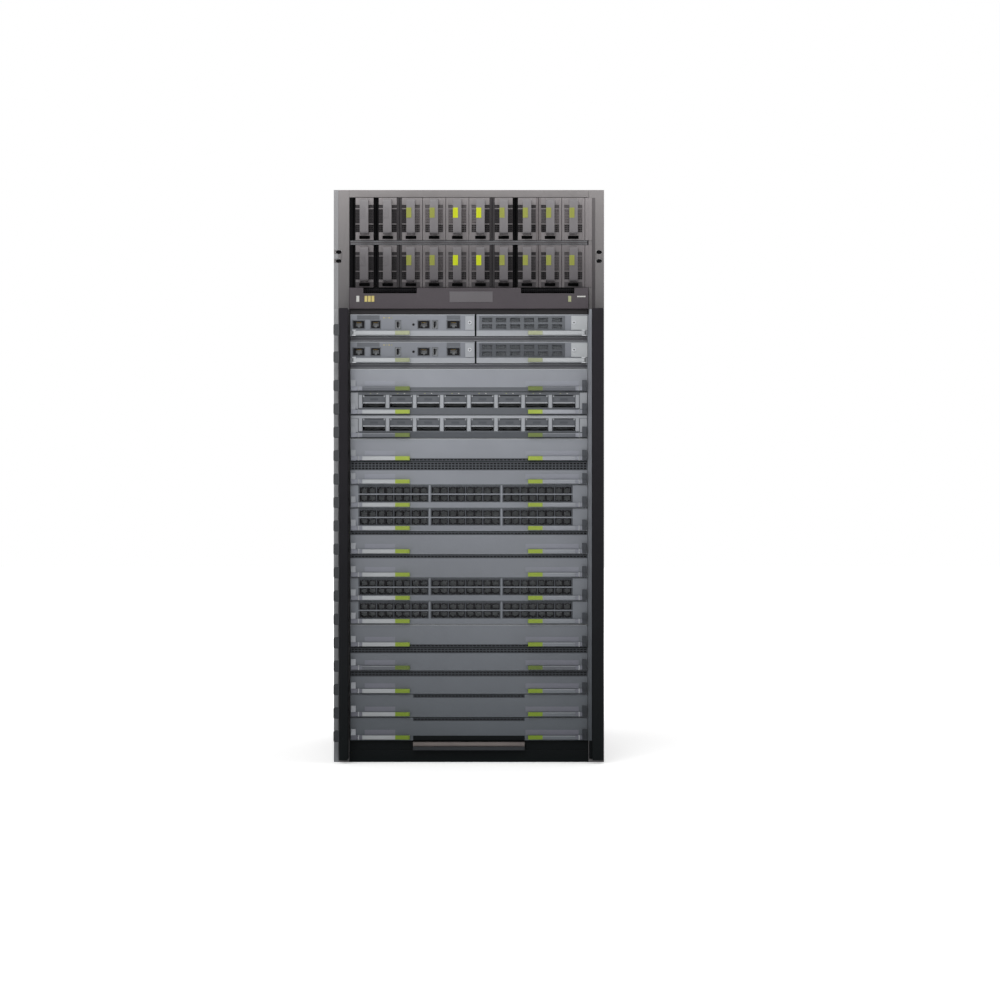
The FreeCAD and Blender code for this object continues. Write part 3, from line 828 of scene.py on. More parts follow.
# ---- Chassis ---------------------------------------------------------------
@dataclass
class ChassisShell:
    """The folded sheet case with its screws, lugs and rear grilles."""
    screw_inset: float = 12.0
    screw_rows: int = 8
    screw_radius: float = 3.2
    trim_gap: float = 0.7
    rail: Span = (-1.0, 1.6)
    flange_inner: float = 213.3
    fold: float = 8.2
    slot_inset: float = 8.75
    slot_drops: Span = (126.65, 110.775)
    slot_clear: float = 3.6
    slot_radius: float = 3.3
    slot_reach: float = 1.8
    # Where a strip of painted shade runs down the inner edge of the right flange.
    seam: Span = (219.6, 225.4)
    grille: Span = (-192.0, 192.0)
    lug: Span = (-206.0, -182.0)

    def dress(self) -> None:
        """Gives the sheets their finishes and adds the fine parts."""
        finishes = {"side_wall_left": Finish.CHASSIS, "side_wall_right": Finish.CHASSIS,
                    "top_cover": Finish.CHASSIS, "base_pan": Finish.BLACK_COAT, "bay_floor": Finish.RAIL_COAT,
                    "power_shelf": Finish.RAIL_COAT, "front_frame": Finish.BLACK_COAT,
                    "rear_frame": Finish.SHELL, "midplane": Finish.BOARD, "power_terminals": Finish.BLACK}
        for node, finish in finishes.items():
            wear(node, finish)
        self.front_trims()
        self.side_screws()
        self.rear_fittings()

    def front_trims(self) -> None:
        """Adds the rails between the rows and the pale fold along the left flange."""
        work = Workpiece("front_trims")
        rows = (("power_module_upper_01", "power_module_lower_01", HALF_OPENING),
                ("control_module_right_upper", "control_module_right_lower", HALF_OPENING),
                ("control_module_right_lower", "filler_panel_01", NodeBox.of("filler_panel_01").x[1]))
        for above, below, half in rows:
            gap = inset((NodeBox.of(below).z[1], NodeBox.of(above).z[0]), self.trim_gap)
            work.block(within(half), self.rail, gap, Finish.RAIL_COAT)
            for edge in (gap[0] + 0.8, gap[1] - 1.4):
                work.block(within(half), skin(self.rail[0], 0.3), over(edge, 0.0, 0.6), Finish.LIGHT)
        self.jambs(work)
        flange = NodeBox.of("side_wall_left")
        cover = NodeBox.of("top_cover").z[1]
        slots = [cover - drop for drop in self.slot_drops]
        clear = [edge for slot in slots for edge in about(slot, 2 * self.slot_clear)]
        edges = [NodeBox.of("front_bezel").z[0], *clear, cover]
        fold = over(flange.x[0], 0.0, self.fold)
        work.block(fold, skin(0.0, 0.5), (0.0, edges[0]), Finish.FLANGE)
        for span in zip(edges[::2], edges[1::2]):
            work.block(fold, skin(0.0, 0.5), span, Finish.EDGE)
        for side in Side:
            centre = side.value * (abs(flange.x[0]) - self.slot_inset)
            for height in slots:
                outline = [*arc((centre + self.slot_reach, height), self.slot_radius, -90, 90, 8),
                           *arc((centre - self.slot_reach, height), self.slot_radius, 90, 270, 8)]
                work.prism(outline, Axis.Y, (1.0, 1.9), Finish.CAVITY)
        work.place("chassis", "chassis_paint", 0.15)

    def jambs(self, work: Workpiece) -> None:
        """Adds the pale jambs beside the power rows, a strip of painted shade down the right flange, black
        painted shadow in the gap on their left and a band of painted shade under the bezel.

        Args:
            work: The trims' piece.
        """
        for row in ("lower", "upper"):
            first, last = (NodeBox.of("power_module_%s_%02d" % (row, column)) for column in (1, 10))
            work.block((last.x[1] + self.trim_gap, self.flange_inner), self.rail, last.z, Finish.POWER_FACE)
            work.block((self.flange_inner, self.seam[0]), skin(0.0, 1.0), last.z, Finish.POWER_FACE)
            # Black in the gap left of the first module: painted shadow.
            work.block((-self.flange_inner, first.x[0] - self.trim_gap), (0.4, 1.6), first.z, Finish.CAVITY)
        low, high = NodeBox.of("front_bezel").z[0], NodeBox.of("power_module_upper_01").z[1]
        module = NodeBox.of("control_module_left_upper").z[1]
        # A dark band between the control modules and the bezel: painted shade in the gap.
        work.block(within(HALF_OPENING), self.rail, (module + self.trim_gap, low - 0.3), Finish.POWER_DARK)
        work.block((HALF_OPENING + 0.4, self.flange_inner + 1.2), skin(0.0, 1.0),
                   (NodeBox.of("filler_panel_16").z[0], module), Finish.CARD)
        # A dark strip down the right flange's inner edge: painted shade.
        work.block(self.seam, skin(0.0, 0.5), (low, high), Finish.POWER_SHADE)

    def side_screws(self) -> None:
        """Adds the rows of screws down both walls."""
        box = NodeBox.of("top_cover")
        work = Workpiece("wall_screws")
        step = (box.z[1] - 8 * self.screw_inset) / (self.screw_rows - 1)
        for side in Side:
            for depth in (2 * self.screw_inset, box.y[1] / 2, box.y[1] - self.screw_inset):
                for row in range(self.screw_rows):
                    centre = (depth, 4 * self.screw_inset + row * step)
                    screw_head(work, Axis.X, centre, box.x[1] * side.value, side.value, self.screw_radius)
        work.place("chassis", "chassis_paint", 0.3)

    def rear_fittings(self) -> None:
        """Adds the exhaust grilles, the rear screws and the earth lug."""
        rear = NodeBox.of("rear_frame")
        work = Workpiece("rear_fittings")
        plane = rear.y[1]
        z = over(NodeBox.of("power_terminals").z[1], 26.0, 140.0)
        work.pierced(self.grille, over(plane, -3.4, -2.2), z, (64, 19), 1.6, Finish.DULL)
        step = (rear.z[1] - 6 * self.screw_inset) / (self.screw_rows - 1)
        for x in inset(rear.x, self.screw_inset / 2):
            for row in range(self.screw_rows):
                screw_head(work, Axis.Y, (x, 3 * self.screw_inset + row * step), plane, 1, self.screw_radius)
        work.block(self.lug, over(plane, 0.0, 1.6), (20.0, 32.0), Finish.BRIGHT)
        for x in inset(self.lug, 6.0):
            work.rod((x, 26.0), 2.5, Axis.Y, over(plane, 1.6, 9.0), Finish.GOLD, 20)
            work.rod((x, 26.0), 4.4, Axis.Y, over(plane, 1.6, 4.4), Finish.BRIGHT, 6)
        work.place("chassis", "chassis_paint", 0.2)


# ---- Power modules ---------------------------------------------------------
class Tone(Enum):
    """How dark the vents on the two sides of a joint are painted, as painted shade: the coats of their rim,
    mesh and cells.
    """
    PALE = (Finish.POWER_FACE, Finish.POWER_MESH, Finish.POWER_SHADE)
    MIXED = (Finish.POWER_MESH, Finish.POWER_SHADE, Finish.POWER_DARK)
    DARK = (Finish.POWER_DARK, Finish.POWER_DARK, Finish.POWER_DARK)
    BLACK = (Finish.CAVITY, Finish.POWER_DARK, Finish.POWER_DARK)


class Latch(Enum):
    """How a power module's lime latch is painted: in its lit colour, as a painted-shade copy, or in the
    strap's colour.
    """
    LIME = Finish.LATCH
    # A painted-shade copy of the lime latch.
    OLIVE = Finish.LATCH_SHADE
    GREY = Finish.STRAP


@dataclass
class PowerBank:
    """Two rows of power modules, each with a strap handle and a latch."""
    # The painted shade on the vents at each joint between modules, from left to right.
    joints: tuple[Tone, ...] = (Tone.BLACK, Tone.BLACK, Tone.DARK, Tone.PALE, Tone.PALE, Tone.PALE, Tone.DARK,
                                Tone.BLACK, Tone.MIXED, Tone.PALE, Tone.PALE)
    # Each module's latch paint from left to right; the same lime latch is given lit, painted-shade and
    # strap-coloured copies.
    latches: tuple[Latch, ...] = (Latch.GREY, Latch.GREY, Latch.OLIVE, Latch.OLIVE, Latch.LIME, Latch.LIME,
                                  Latch.OLIVE, Latch.OLIVE, Latch.OLIVE, Latch.OLIVE)
    face_thickness: float = 6.0
    vent_width: float = 9.0
    vent_edge: float = 4.3
    cells: Span = (14.0, 28.0)
    mesh: Span = (29.6, 55.4)
    slot: Span = (57.0, 63.0)
    foot: float = 19.0
    foot_shade: float = 9.6
    strap_width: float = 15.0
    strap_thickness: float = 4.0
    strap_reach: float = 24.0
    strap_rise: Span = (10.0, 72.0)
    strap_corner: float = 5.0
    latch: Span = (9.0, 18.0)
    latch_rise: float = 37.5
    latch_proud: float = 1.5
    rib_proud: float = 0.4
    plug_reach: float = 3.0
    seam_share: float = 0.48

    def dress(self) -> None:
        """Builds every module of both rows."""
        for row in ("lower", "upper"):
            for column, latch in enumerate(self.latches, start=1):
                node = "power_module_%s_%02d" % (row, column)
                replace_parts(self.module(node, self.joints[column - 1:column + 1], latch), node)

    def module(self, node: str, joints: tuple[Tone, ...], latch: Latch) -> Piece:
        """Builds a module in the place of its node.

        Args:
            node: The node.
            joints: How much painted shade lies on its left and its right vent.
            latch: How its latch is painted: lit, as painted shade or in the strap's colour.

        Returns:
            The module's object.
        """
        box = NodeBox.of(node)
        work = Workpiece(node + "_dressed")
        front = box.y[0] + self.strap_reach + self.latch_proud
        back = front + self.face_thickness
        inner = inset(box.x, self.vent_edge)
        foot = (about(middle_of(box.x), self.foot), over(box.z[0], 2.0, 8.0))
        self.case(work, box, back)
        work.windowed(inner, (front, back), box.z, [*self.openings(box), foot], Finish.POWER_FACE)
        # Lower modules get a band of painted shade along the foot of the face.
        if "lower" in node:
            shade = over(box.z[0], 0.0, self.foot_shade)
            work.windowed(inner, skin(front, 0.3), shade, [foot], Finish.POWER_SHADE)
        for side, tone in zip(Side, joints):
            self.vent(work, box, side, tone, front)
        # Black behind the foot slot: painted shade inside it.
        work.block(foot[0], skin(back, 1.0), foot[1], Finish.CAVITY)
        self.strap(work, box, front)
        self.latch_tab(work, box, front, latch)
        return work.place(node, "module_metal", 0.3)

    def openings(self, box: NodeBox) -> list[Window]:
        """The openings of both vents, left and then right.

        Args:
            box: The module's box.

        Returns:
            For each vent the cells, the mesh above them and the slot on top.
        """
        left, right = inset(box.x, self.vent_edge)
        spans = (over(left, 0.0, self.vent_width), skin(right, self.vent_width))
        rises = [over(box.z[0], *rise) for rise in (self.cells, self.mesh, self.slot)]
        return [(span, rise) for span in spans for rise in rises]

    def vent(self, work: Workpiece, box: NodeBox, side: Side, tone: Tone, front: float) -> None:
        """Fills the vent on one side, and adds the edge of the face beside it, both in its painted shade.

        Args:
            work: The module's piece.
            box: The module's box.
            side: Which vent it is.
            tone: How much painted shade lies on it.
            front: The module's face.
        """
        rim, wires, bars = tone.value
        back = front + self.face_thickness
        left, right = inset(box.x, self.vent_edge)
        edge = (box.x[0], left) if side is Side.LEFT else (right, box.x[1])
        work.block(edge, (back - 0.8 if tone is Tone.BLACK else front, back), box.z, rim)
        openings = self.openings(box)
        low, mesh, slot = openings[:3] if side is Side.LEFT else openings[3:]
        work.pierced(mesh[0], over(front, 0.5, 1.3), mesh[1], (4, 9), 1.1, wires)
        work.pierced(low[0], over(front, 1.2, 2.0), low[1], (3, 4), 1.0, bars)
        work.block(slot[0], (front + 1.4, back), slot[1], bars)
        # Black behind the cells and mesh: painted shade inside the vent.
        work.block(low[0], (front + 4.4, back), (low[1][0], mesh[1][1]), Finish.CAVITY)

    def case(self, work: Workpiece, box: NodeBox, front: float) -> None:
        """Adds the case behind the face, with its lid seam, screws and rear connector.

        Args:
            work: The module's piece.
            box: The module's box.
            front: Where the case starts.
        """
        middle, height, top = middle_of(box.x), middle_of(box.z), box.z[1]
        end = box.y[1] - self.plug_reach
        seam = end * self.seam_share
        work.block(inset(box.x, 0.5), (front, end), (box.z[0], top - 0.8), Finish.DULL)
        for depth in ((front, seam), (seam + 1.0, end)):
            work.block(box.x, depth, skin(top, 9.0), Finish.DULL)
        for depth in (front + 14.0, seam - 8.0, end - 12.0):
            work.rod((middle, depth), 2.6, Axis.Z, skin(top, 1.0), Finish.BRIGHT, 16)
        # The gills are black stripes on the case sides: painted shade inside slots.
        for gill in range(8):
            depth = about(front + 60.0 + gill * 9.0, 4.0)
            work.block(inset(box.x, 0.3), depth, over(box.z[0], 18.0, 54.0), Finish.CAVITY)
        work.block(about(middle, 26.0), (end, box.y[1]), about(height, 12.0), Finish.BLACK)
        for contact in range(6):
            across = about(middle + (contact - 2.5) * 4.0, 1.6)
            work.block(across, skin(box.y[1], 0.2), about(height, 6.0), Finish.GOLD)

    def strap(self, work: Workpiece, box: NodeBox, front: float) -> None:
        """Adds the bent strap and the rivets that hold it.

        Args:
            work: The module's piece.
            box: The module's box.
            front: The module's face.
        """
        thickness, corner = self.strap_thickness, self.strap_corner
        z = over(box.z[0], *self.strap_rise)
        lower, upper = ((front - self.strap_reach + corner, height) for height in inset(z, corner))
        outline = [(front, z[0]), *arc(lower, corner, -90, -180), *arc(upper, corner, 180, 90), (front, z[1]),
                   (front, z[1] - thickness), *arc(upper, corner - thickness, 90, 180),
                   *arc(lower, corner - thickness, 180, 270), (front, z[0] + thickness)]
        middle = middle_of(box.x)
        work.prism(outline, Axis.X, about(middle, self.strap_width), Finish.STRAP)
        for height in inset(z, thickness + 1.6):
            work.block(about(middle, 6.0), skin(front, 1.0), about(height, 2.4), Finish.DULL)

    def latch_tab(self, work: Workpiece, box: NodeBox, front: float, latch: Latch) -> None:
        """Adds the ribbed latch on the strap.

        Args:
            work: The module's piece.
            box: The module's box.
            front: The module's face.
            latch: How it is painted: lit, as painted shade or in the strap's colour.
        """
        reach = front - self.strap_reach
        tab = reach - self.latch_proud + self.rib_proud
        low = box.z[0] + self.latch_rise
        across = over(middle_of(box.x) - self.strap_width / 2, 0.0, self.latch[0])
        work.block(across, (tab, reach), over(low, 0.0, self.latch[1]), latch.value)
        for rib in range(1, 5):
            height = about(low + rib * self.latch[1] / 5, 1.4)
            work.block(inset(across, 1.0), skin(tab, self.rib_proud), height, latch.value)


# ---- Bezel -----------------------------------------------------------------
@dataclass
class Bezel:
    """The bezel with its dark notches, indicator windows and a bare plate."""
    plate: Span = (77.0, 19.0)
    plate_place: Span = (4.0, 2.5)
    notch: Span = (95.0, 10.0)
    notch_place: float = 0.66
    window_rise: Span = (-6.5, 4.1)
    clear_window: Span = (-200.6, -195.4)
    green_window: Span = (177.0, 182.5)
    tab: Span = (193.0, 208.0)

    def dress(self) -> None:
        """Gives the bezel its finish and adds the fine parts."""
        wear("front_bezel", Finish.BEZEL, 0.6)
        box = NodeBox.of("front_bezel")
        work = Workpiece("bezel_fittings")
        middle = middle_of(box.z)
        work.block(about(self.plate_place[0], self.plate[0]), skin(box.y[0], 0.6),
                   about(middle + self.plate_place[1], self.plate[1]), Finish.NAMEPLATE)
        # Each notch holds a black grid standing in for the shade inside it: painted shade.
        for side in Side:
            notch = about(side.value * self.notch_place * box.x[1], self.notch[0])
            work.pierced(notch, (0.6, 1.6), skin(box.z[1], self.notch[1]), (24, 2), 1.2, Finish.CAVITY)
        rise = over(middle, *self.window_rise)
        amber = [(over(-186.0 + light * 6.2, 0.0, 5.0), Finish.AMBER) for light in range(3)]
        for span, finish in ((self.clear_window, Finish.CLEAR), *amber, (self.green_window, Finish.GREEN)):
            work.block(span, skin(box.y[0], 0.5), rise, finish)
        work.block(self.tab, skin(box.y[0], 0.5), skin(rise[1], 2.4), Finish.CLEAR)
        work.place("chassis", "black_plastic", 0.2)


# ---- Boards behind the faces -----------------------------------------------
@dataclass
class BoardFittings:
    """A card's board and the parts soldered to it."""
    thickness: float = 2.4
    depth: float = 424.0
    sink_place: float = 212.0
    sink_size: float = 70.0
    sink_base: float = 3.0
    sink_height: float = 14.0
    fins: int = 16
    fin: float = 1.2
    chip_sizes: tuple[float, ...] = (26.0, 18.0, 22.0, 14.0)
    chip_height: float = 2.2
    can_radius: float = 4.0
    can_height: float = 11.0

    def build(self, work: Workpiece, x: Span, low: float) -> None:
        """Builds the board and what is on it.

        Args:
            work: The card's piece.
            x: The board's limits across.
            low: The height of its underside.
        """
        top = low + self.thickness
        middle, half = middle_of(x), (x[1] - x[0]) / 2
        work.block(x, (0.0, self.depth), (low, top), Finish.BOARD)
        self.heat_sink(work, middle, top)
        can_top = top + self.can_height
        for side in Side:
            for row, size in enumerate(self.chip_sizes):
                place = (middle + side.value * (half * 0.42 + 9.0 * (row % 2)), 112.0 + row * 74.0)
                for share, rise, finish in ((1.0, (0.0, self.chip_height), Finish.CHIP),
                                            (0.86, (self.chip_height, self.chip_height + 0.3), Finish.DULL)):
                    sides = [about(centre, size * share) for centre in place]
                    work.block(*sides, over(top, *rise), finish)
            for can in range(5):
                place = (middle + side.value * (half * 0.78), 150.0 + can * 24.0)
                work.rod(place, self.can_radius, Axis.Z, (top, can_top), Finish.ALUMINIUM, 16)
                work.rod(place, self.can_radius * 0.7, Axis.Z, over(can_top, 0.0, 0.2), Finish.CHIP, 12)
            plug = about(middle + side.value * half * 0.5, half * 0.46)
            work.block(plug, skin(self.depth, 14.0), over(top, 0.0, 13.0), Finish.BLACK)
            work.block(inset(plug, 3.0), skin(self.depth, 0.3), over(top, 3.0, 10.0), Finish.GOLD)

    def heat_sink(self, work: Workpiece, middle: float, top: float) -> None:
        """Adds the finned block on the main chip.

        Args:
            work: The card's piece.
            middle: Its middle across.
            top: The height that it stands on.
        """
        across, deep = about(middle, self.sink_size), about(self.sink_place, self.sink_size)
        work.block(across, deep, over(top, 0.0, self.sink_base), Finish.ALUMINIUM)
        for fin in range(self.fins):
            left = across[0] + fin * (self.sink_size - self.fin) / (self.fins - 1)
            work.block(over(left, 0.0, self.fin), deep, over(top, self.sink_base, self.sink_height),
                       Finish.ALUMINIUM)


# ---- Levers on fixed faces -------------------------------------------------
@dataclass
class FaceLevers:
    """The pair of ejector levers closed on a full-width face."""
    bracket: Span = (202.0, 210.3)
    hinge: Span = (190.0, 202.0)
    pin: float = 197.0
    pin_radius: float = 1.6
    rise: Span = (2.5, 9.5)
    face: float = -3.0
    front: float = -8.5
    back: float = -3.4
    nose: float = -10.5
    plate_height: float = 9.0
    left_plate: Span = (131.5, 186.0)
    right_plate: Span = (101.0, 196.0)

    def build(self, work: Workpiece, floor: float, dim: bool) -> None:
        """Adds both levers with their pivots.

        Args:
            work: The card's piece.
            floor: The height of the slot.
            dim: Whether the levers are in shadow, painted with the darker shadow finish.
        """
        z = over(floor, *self.rise)
        # Left levers wear lit coats and right levers darker copies as painted shade; levers in shadow wear a
        # painted-shadow bar and tip.
        finishes = {Side.LEFT: (Finish.LIGHT, Finish.LEVER_PLATE, Finish.LEVER),
                    Side.RIGHT: (Finish.FIELD, Finish.FIELD, Finish.LEVER_SHADE)}
        tip = Finish.LIME_SHADE if dim else Finish.LIME
        for side, (upper, lower, bar) in finishes.items():
            work.block(side.of(self.bracket), (self.front, self.face), over(z[1], 0.6, 11.4), upper)
            work.block(side.of(self.bracket), (self.front + 1.0, self.face), (z[0] - 0.4, z[1] + 0.6), lower)
            work.block(side.of(self.hinge), (self.front + 1.6, self.face), z, Finish.LEVER_PLATE)
            work.rod((side.value * self.pin, (self.front + self.face) / 2), self.pin_radius, Axis.Z,
                     inset(z, -0.6), Finish.DULL, 16)
            length = side.of((LEVER_TIP[1], self.hinge[0]))
            work.block(length, (self.front, self.back), z, Finish.LEVER_DIM if dim else bar)
            work.block(length, skin(self.front, 0.05), over(z[1], -1.4, -0.9), Finish.DULL)
            lever_tip(work, side, (self.front, self.back), self.nose, z, tip)

    def plates(self, work: Workpiece, floor: float) -> None:
        """Adds the low plates above the levers.

        Args:
            work: The card's piece.
            floor: The height of the slot.
        """
        z = over(floor + self.rise[1] + 0.8, 0.0, self.plate_height)
        for side, span in ((Side.LEFT, self.left_plate), (Side.RIGHT, self.right_plate)):
            work.block(side.of(span), skin(self.face, 0.5), z, Finish.LEVER_PLATE)


# ---- Line cards ------------------------------------------------------------
@dataclass
class SlotPlan:
    """Where the line-card slots are."""
    base: float = 38.6
    pitch: float = 41.5
    count: int = 16
    face: float = -3.0
    board_lift: float = 2.3

    def floor(self, number: int) -> float:
        """The height of a slot's floor, counted from the top."""
        return self.base + (self.count - number) * self.pitch

    def faces(self, number: int) -> Span:
        """The lower and upper edge of a slot's face."""
        return over(self.floor(number), 0.5, self.pitch - 0.5)


@dataclass
class SlotPieces:
    """The pieces of one kind that fill line-card slots."""
    slots: SlotPlan
    levers: FaceLevers
    fittings: BoardFittings
    kind: str = ""
    numbers: tuple[int, ...] = ()
    # Slots whose levers are painted in shadow.
    dim: tuple[int, ...] = ()
    bevel: float = 0.2

    def dress(self) -> None:
        """Builds the piece of each slot with its levers."""
        for number in self.numbers:
            node = "%s_%02d" % (self.kind, number)
            work = Workpiece(node + "_dressed")
            floor = self.slots.floor(number)
            self.build(work, number, floor)
            self.levers.build(work, floor, number in self.dim)
            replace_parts(work.place(node, "card_face", self.bevel), node)

    def build(self, work: Workpiece, number: int, floor: float) -> None:
        """Adds everything but the levers.

        Args:
            work: The slot's piece.
            number: The slot.
            floor: The height of the slot.
        """
        raise NotImplementedError

    def board(self, work: Workpiece, floor: float) -> None:
        """Adds the board behind the face."""
        self.fittings.build(work, within(HALF_OPENING), floor + self.slots.board_lift)


@dataclass
class BayCards(SlotPieces):
    """The cards with eight large bays, each with a shutter across its top."""
    kind: str = "bay_card"
    numbers: tuple[int, ...] = (2, 3)
    # The levers of this card are painted in shadow.
    dim: tuple[int, ...] = (3,)
    count: int = 8
    pitch: float = 48.4
    width: float = 40.0
    rise: Span = (13.5, 36.0)
    depth: float = 60.0
    post: float = 6.0
    shutter: Span = (23.0, 34.6)

    def build(self, work: Workpiece, number: int, floor: float) -> None:
        """Adds the face, the cage with its bays and the board.

        Args:
            work: The card's piece.
            number: The card's slot.
            floor: The height of the slot.
        """
        z = over(floor, *self.rise)
        centres = [(n - (self.count - 1) / 2) * self.pitch for n in range(self.count)]
        windows = [(about(centre, self.width), z) for centre in centres]
        work.windowed(within(HALF_OPENING), (self.slots.face, 0.0), self.slots.faces(number), windows,
                      Finish.BAY)
        self.margins(work, number, floor)
        cage, height = about(0.0, self.count * self.pitch), (floor + 4.7, z[1] + 1.6)
        work.windowed(cage, (0.0, self.depth), height, windows, Finish.SOCKET)
        work.block(cage, over(self.depth, 0.0, 1.6), height, Finish.DULL)
        work.block(cage, (1.0, self.depth), over(height[1], 0.0, 0.3), Finish.DULL)
        for centre in centres:
            self.bay(work, centre, floor)
        self.board(work, floor)

    def margins(self, work: Workpiece, number: int, floor: float) -> None:
        """Adds the pale end plates, and the pale strip along the top of the lower card.

        Args:
            work: The card's piece.
            number: The card's slot.
            floor: The height of the slot.
        """
        last = number == max(self.numbers)
        face, top = skin(self.slots.face, 0.3), 35.0 if last else self.slots.pitch - 1.5
        for side in Side:
            end = side.of((self.count * self.pitch / 2 + 4.4, HALF_OPENING - 1.0))
            work.block(end, face, over(floor, 11.0, top), Finish.LIGHT)
        if last:
            across = within(HALF_OPENING - 1.0)
            work.block(across, face, over(floor, 35.6, self.slots.pitch - 0.8), Finish.LIGHT)
            work.block(across, face, over(floor, 0.6, 10.6), Finish.FIELD)

    def bay(self, work: Workpiece, centre: float, floor: float) -> None:
        """Adds a bay's shutter, its lips, posts and lamps and the connector inside.

        Args:
            work: The card's piece.
            centre: Its middle, across.
            floor: The height of the slot.
        """
        flap, face = about(centre, self.width - 0.6), self.slots.face
        low, high = over(floor, *self.shutter)
        sill = floor + self.rise[0]
        work.block(flap, (-0.5, 2.5), (low, high), Finish.BAY)
        work.block(flap, (-1.8, 2.5), skin(low, 2.2), Finish.LIGHT)
        work.block(about(centre, 14.0), (-0.9, -0.5), over(low, 3.4, 7.0), Finish.FIELD)
        for side in Side:
            hinge = about(centre + side.value * (self.width / 2 - 1.6), 2.2)
            work.block(hinge, (-1.2, 2.0), over(high, -2.4, 0.8), Finish.DULL)
            post = about(centre + side.value * self.pitch / 2, self.post)
            if side is Side.RIGHT or centre < -3 * self.pitch:
                work.block(post, skin(face, 0.5), (sill - 1.0, floor + self.rise[1]), Finish.LIGHT)
        work.block(about(centre, self.width - 6.0), (28.0, 44.0), over(sill, 0.0, 3.0), Finish.BLACK)
        work.block(about(centre, self.width - 10.0), (24.0, 28.0), over(sill, 1.0, 1.6), Finish.POWER_DARK)
        for shift, finish in ((-6.0, Finish.GREEN), (6.0, Finish.CLEAR)):
            work.block(about(centre + shift, 2.2), skin(face, 0.2), about(floor + 38.6, 1.2), finish)


@dataclass
class PortCards(SlotPieces):
    """The cards whose faces are filled by two rows of small ports."""
    kind: str = "port_card"
    numbers: tuple[int, ...] = (6, 7, 10, 11)
    bevel: float = 0.15
    sections: int = 3
    pairs: int = 4
    left: float = -194.8
    pair_pitch: float = 30.8
    pair_width: float = 28.8
    section_gap: float = 5.0
    rows: tuple[float, ...] = (11.8, 26.2)
    height: float = 11.6
    depth: float = 30.0

    def build(self, work: Workpiece, number: int, floor: float) -> None:
        """Adds the face with its ports, the case behind it and the board.

        Args:
            work: The card's piece.
            number: The card's slot.
            floor: The height of the slot.
        """
        face = self.slots.face
        section = self.pairs * self.pair_pitch + self.section_gap
        places = [self.left + part * section + pair * self.pair_pitch
                  for part in range(self.sections) for pair in range(self.pairs)]
        windows = [(over(left, 0.0, self.pair_width), over(floor + low, 0.0, self.height))
                   for low in self.rows for left in places]
        ends = (places[0], places[-1] + self.pair_width)
        inner, rim = inset(ends, -2.4), over(floor, 10.4, self.slots.pitch - 0.9)
        work.windowed(within(HALF_OPENING), (face, 0.0), self.slots.faces(number), [(inner, rim)],
                      Finish.CARD)
        work.windowed(inner, (face + 0.2, 0.0), rim, windows, Finish.FIELD)
        for row, low in enumerate(self.rows):
            for left in places:
                self.jacks(work, left, floor + low, row)
        gap = (floor + self.rows[0] + self.height + 0.3, floor + self.rows[1] - 0.3)
        work.block(inner, over(face, -0.3, 0.2), gap, Finish.CARD)
        work.block(inset(ends, -1.6), skin(self.depth, 2.0), over(floor, 4.7, 39.4), Finish.DULL)
        work.block(inset(ends, -1.6), (1.0, self.depth), over(floor, 39.0, 39.4), Finish.DULL)
        for left in places[self.pairs::self.pairs]:
            post = about(left - (self.section_gap + 2.0) / 2, 3.4)
            work.block(post, over(face, -0.5, 0.2), rim, Finish.CARD)
        self.board(work, floor)

    def jacks(self, work: Workpiece, left: float, low: float, row: int) -> None:
        """Adds a pair of jacks side by side, with their contacts and lights.

        Args:
            work: The card's piece.
            left: The left edge of the opening.
            low: Its lower edge.
            row: 0 for the lower row, whose latch notches look down.
        """
        middle = left + self.pair_width / 2
        centres = [middle + side.value * self.pair_width / 4 for side in Side]
        body = inset((low, low + self.height), 0.15)
        main = (body[0] + 2.6, body[1] - 1.0) if row == 0 else (body[0] + 1.0, body[1] - 2.6)
        notch = (body[0] + 0.9, main[0]) if row == 0 else (main[1], body[1] - 0.9)
        contact = main[1] - 1.0 if row == 0 else main[0] + 0.4
        light = body[0] + 0.25 if row == 0 else body[1] - 0.95
        windows = [(about(centre, width), z) for centre in centres
                   for width, z in ((11.4, main), (4.4, notch))]
        work.windowed(inset((left, left + self.pair_width), 0.15), (-2.5, self.depth - 2.0), body, windows,
                      Finish.SOCKET)
        for centre in centres:
            for wire in range(8):
                work.block(about(centre + (wire - 3.5) * 1.02, 0.4), (5.0, 12.0), over(contact, 0.0, 0.4),
                           Finish.DULL)
            for side in Side:
                lamp = about(centre + side.value * 4.2, 1.8)
                work.block(lamp, (-2.62, -2.5), over(light, 0.0, 0.7), Finish.BAY)


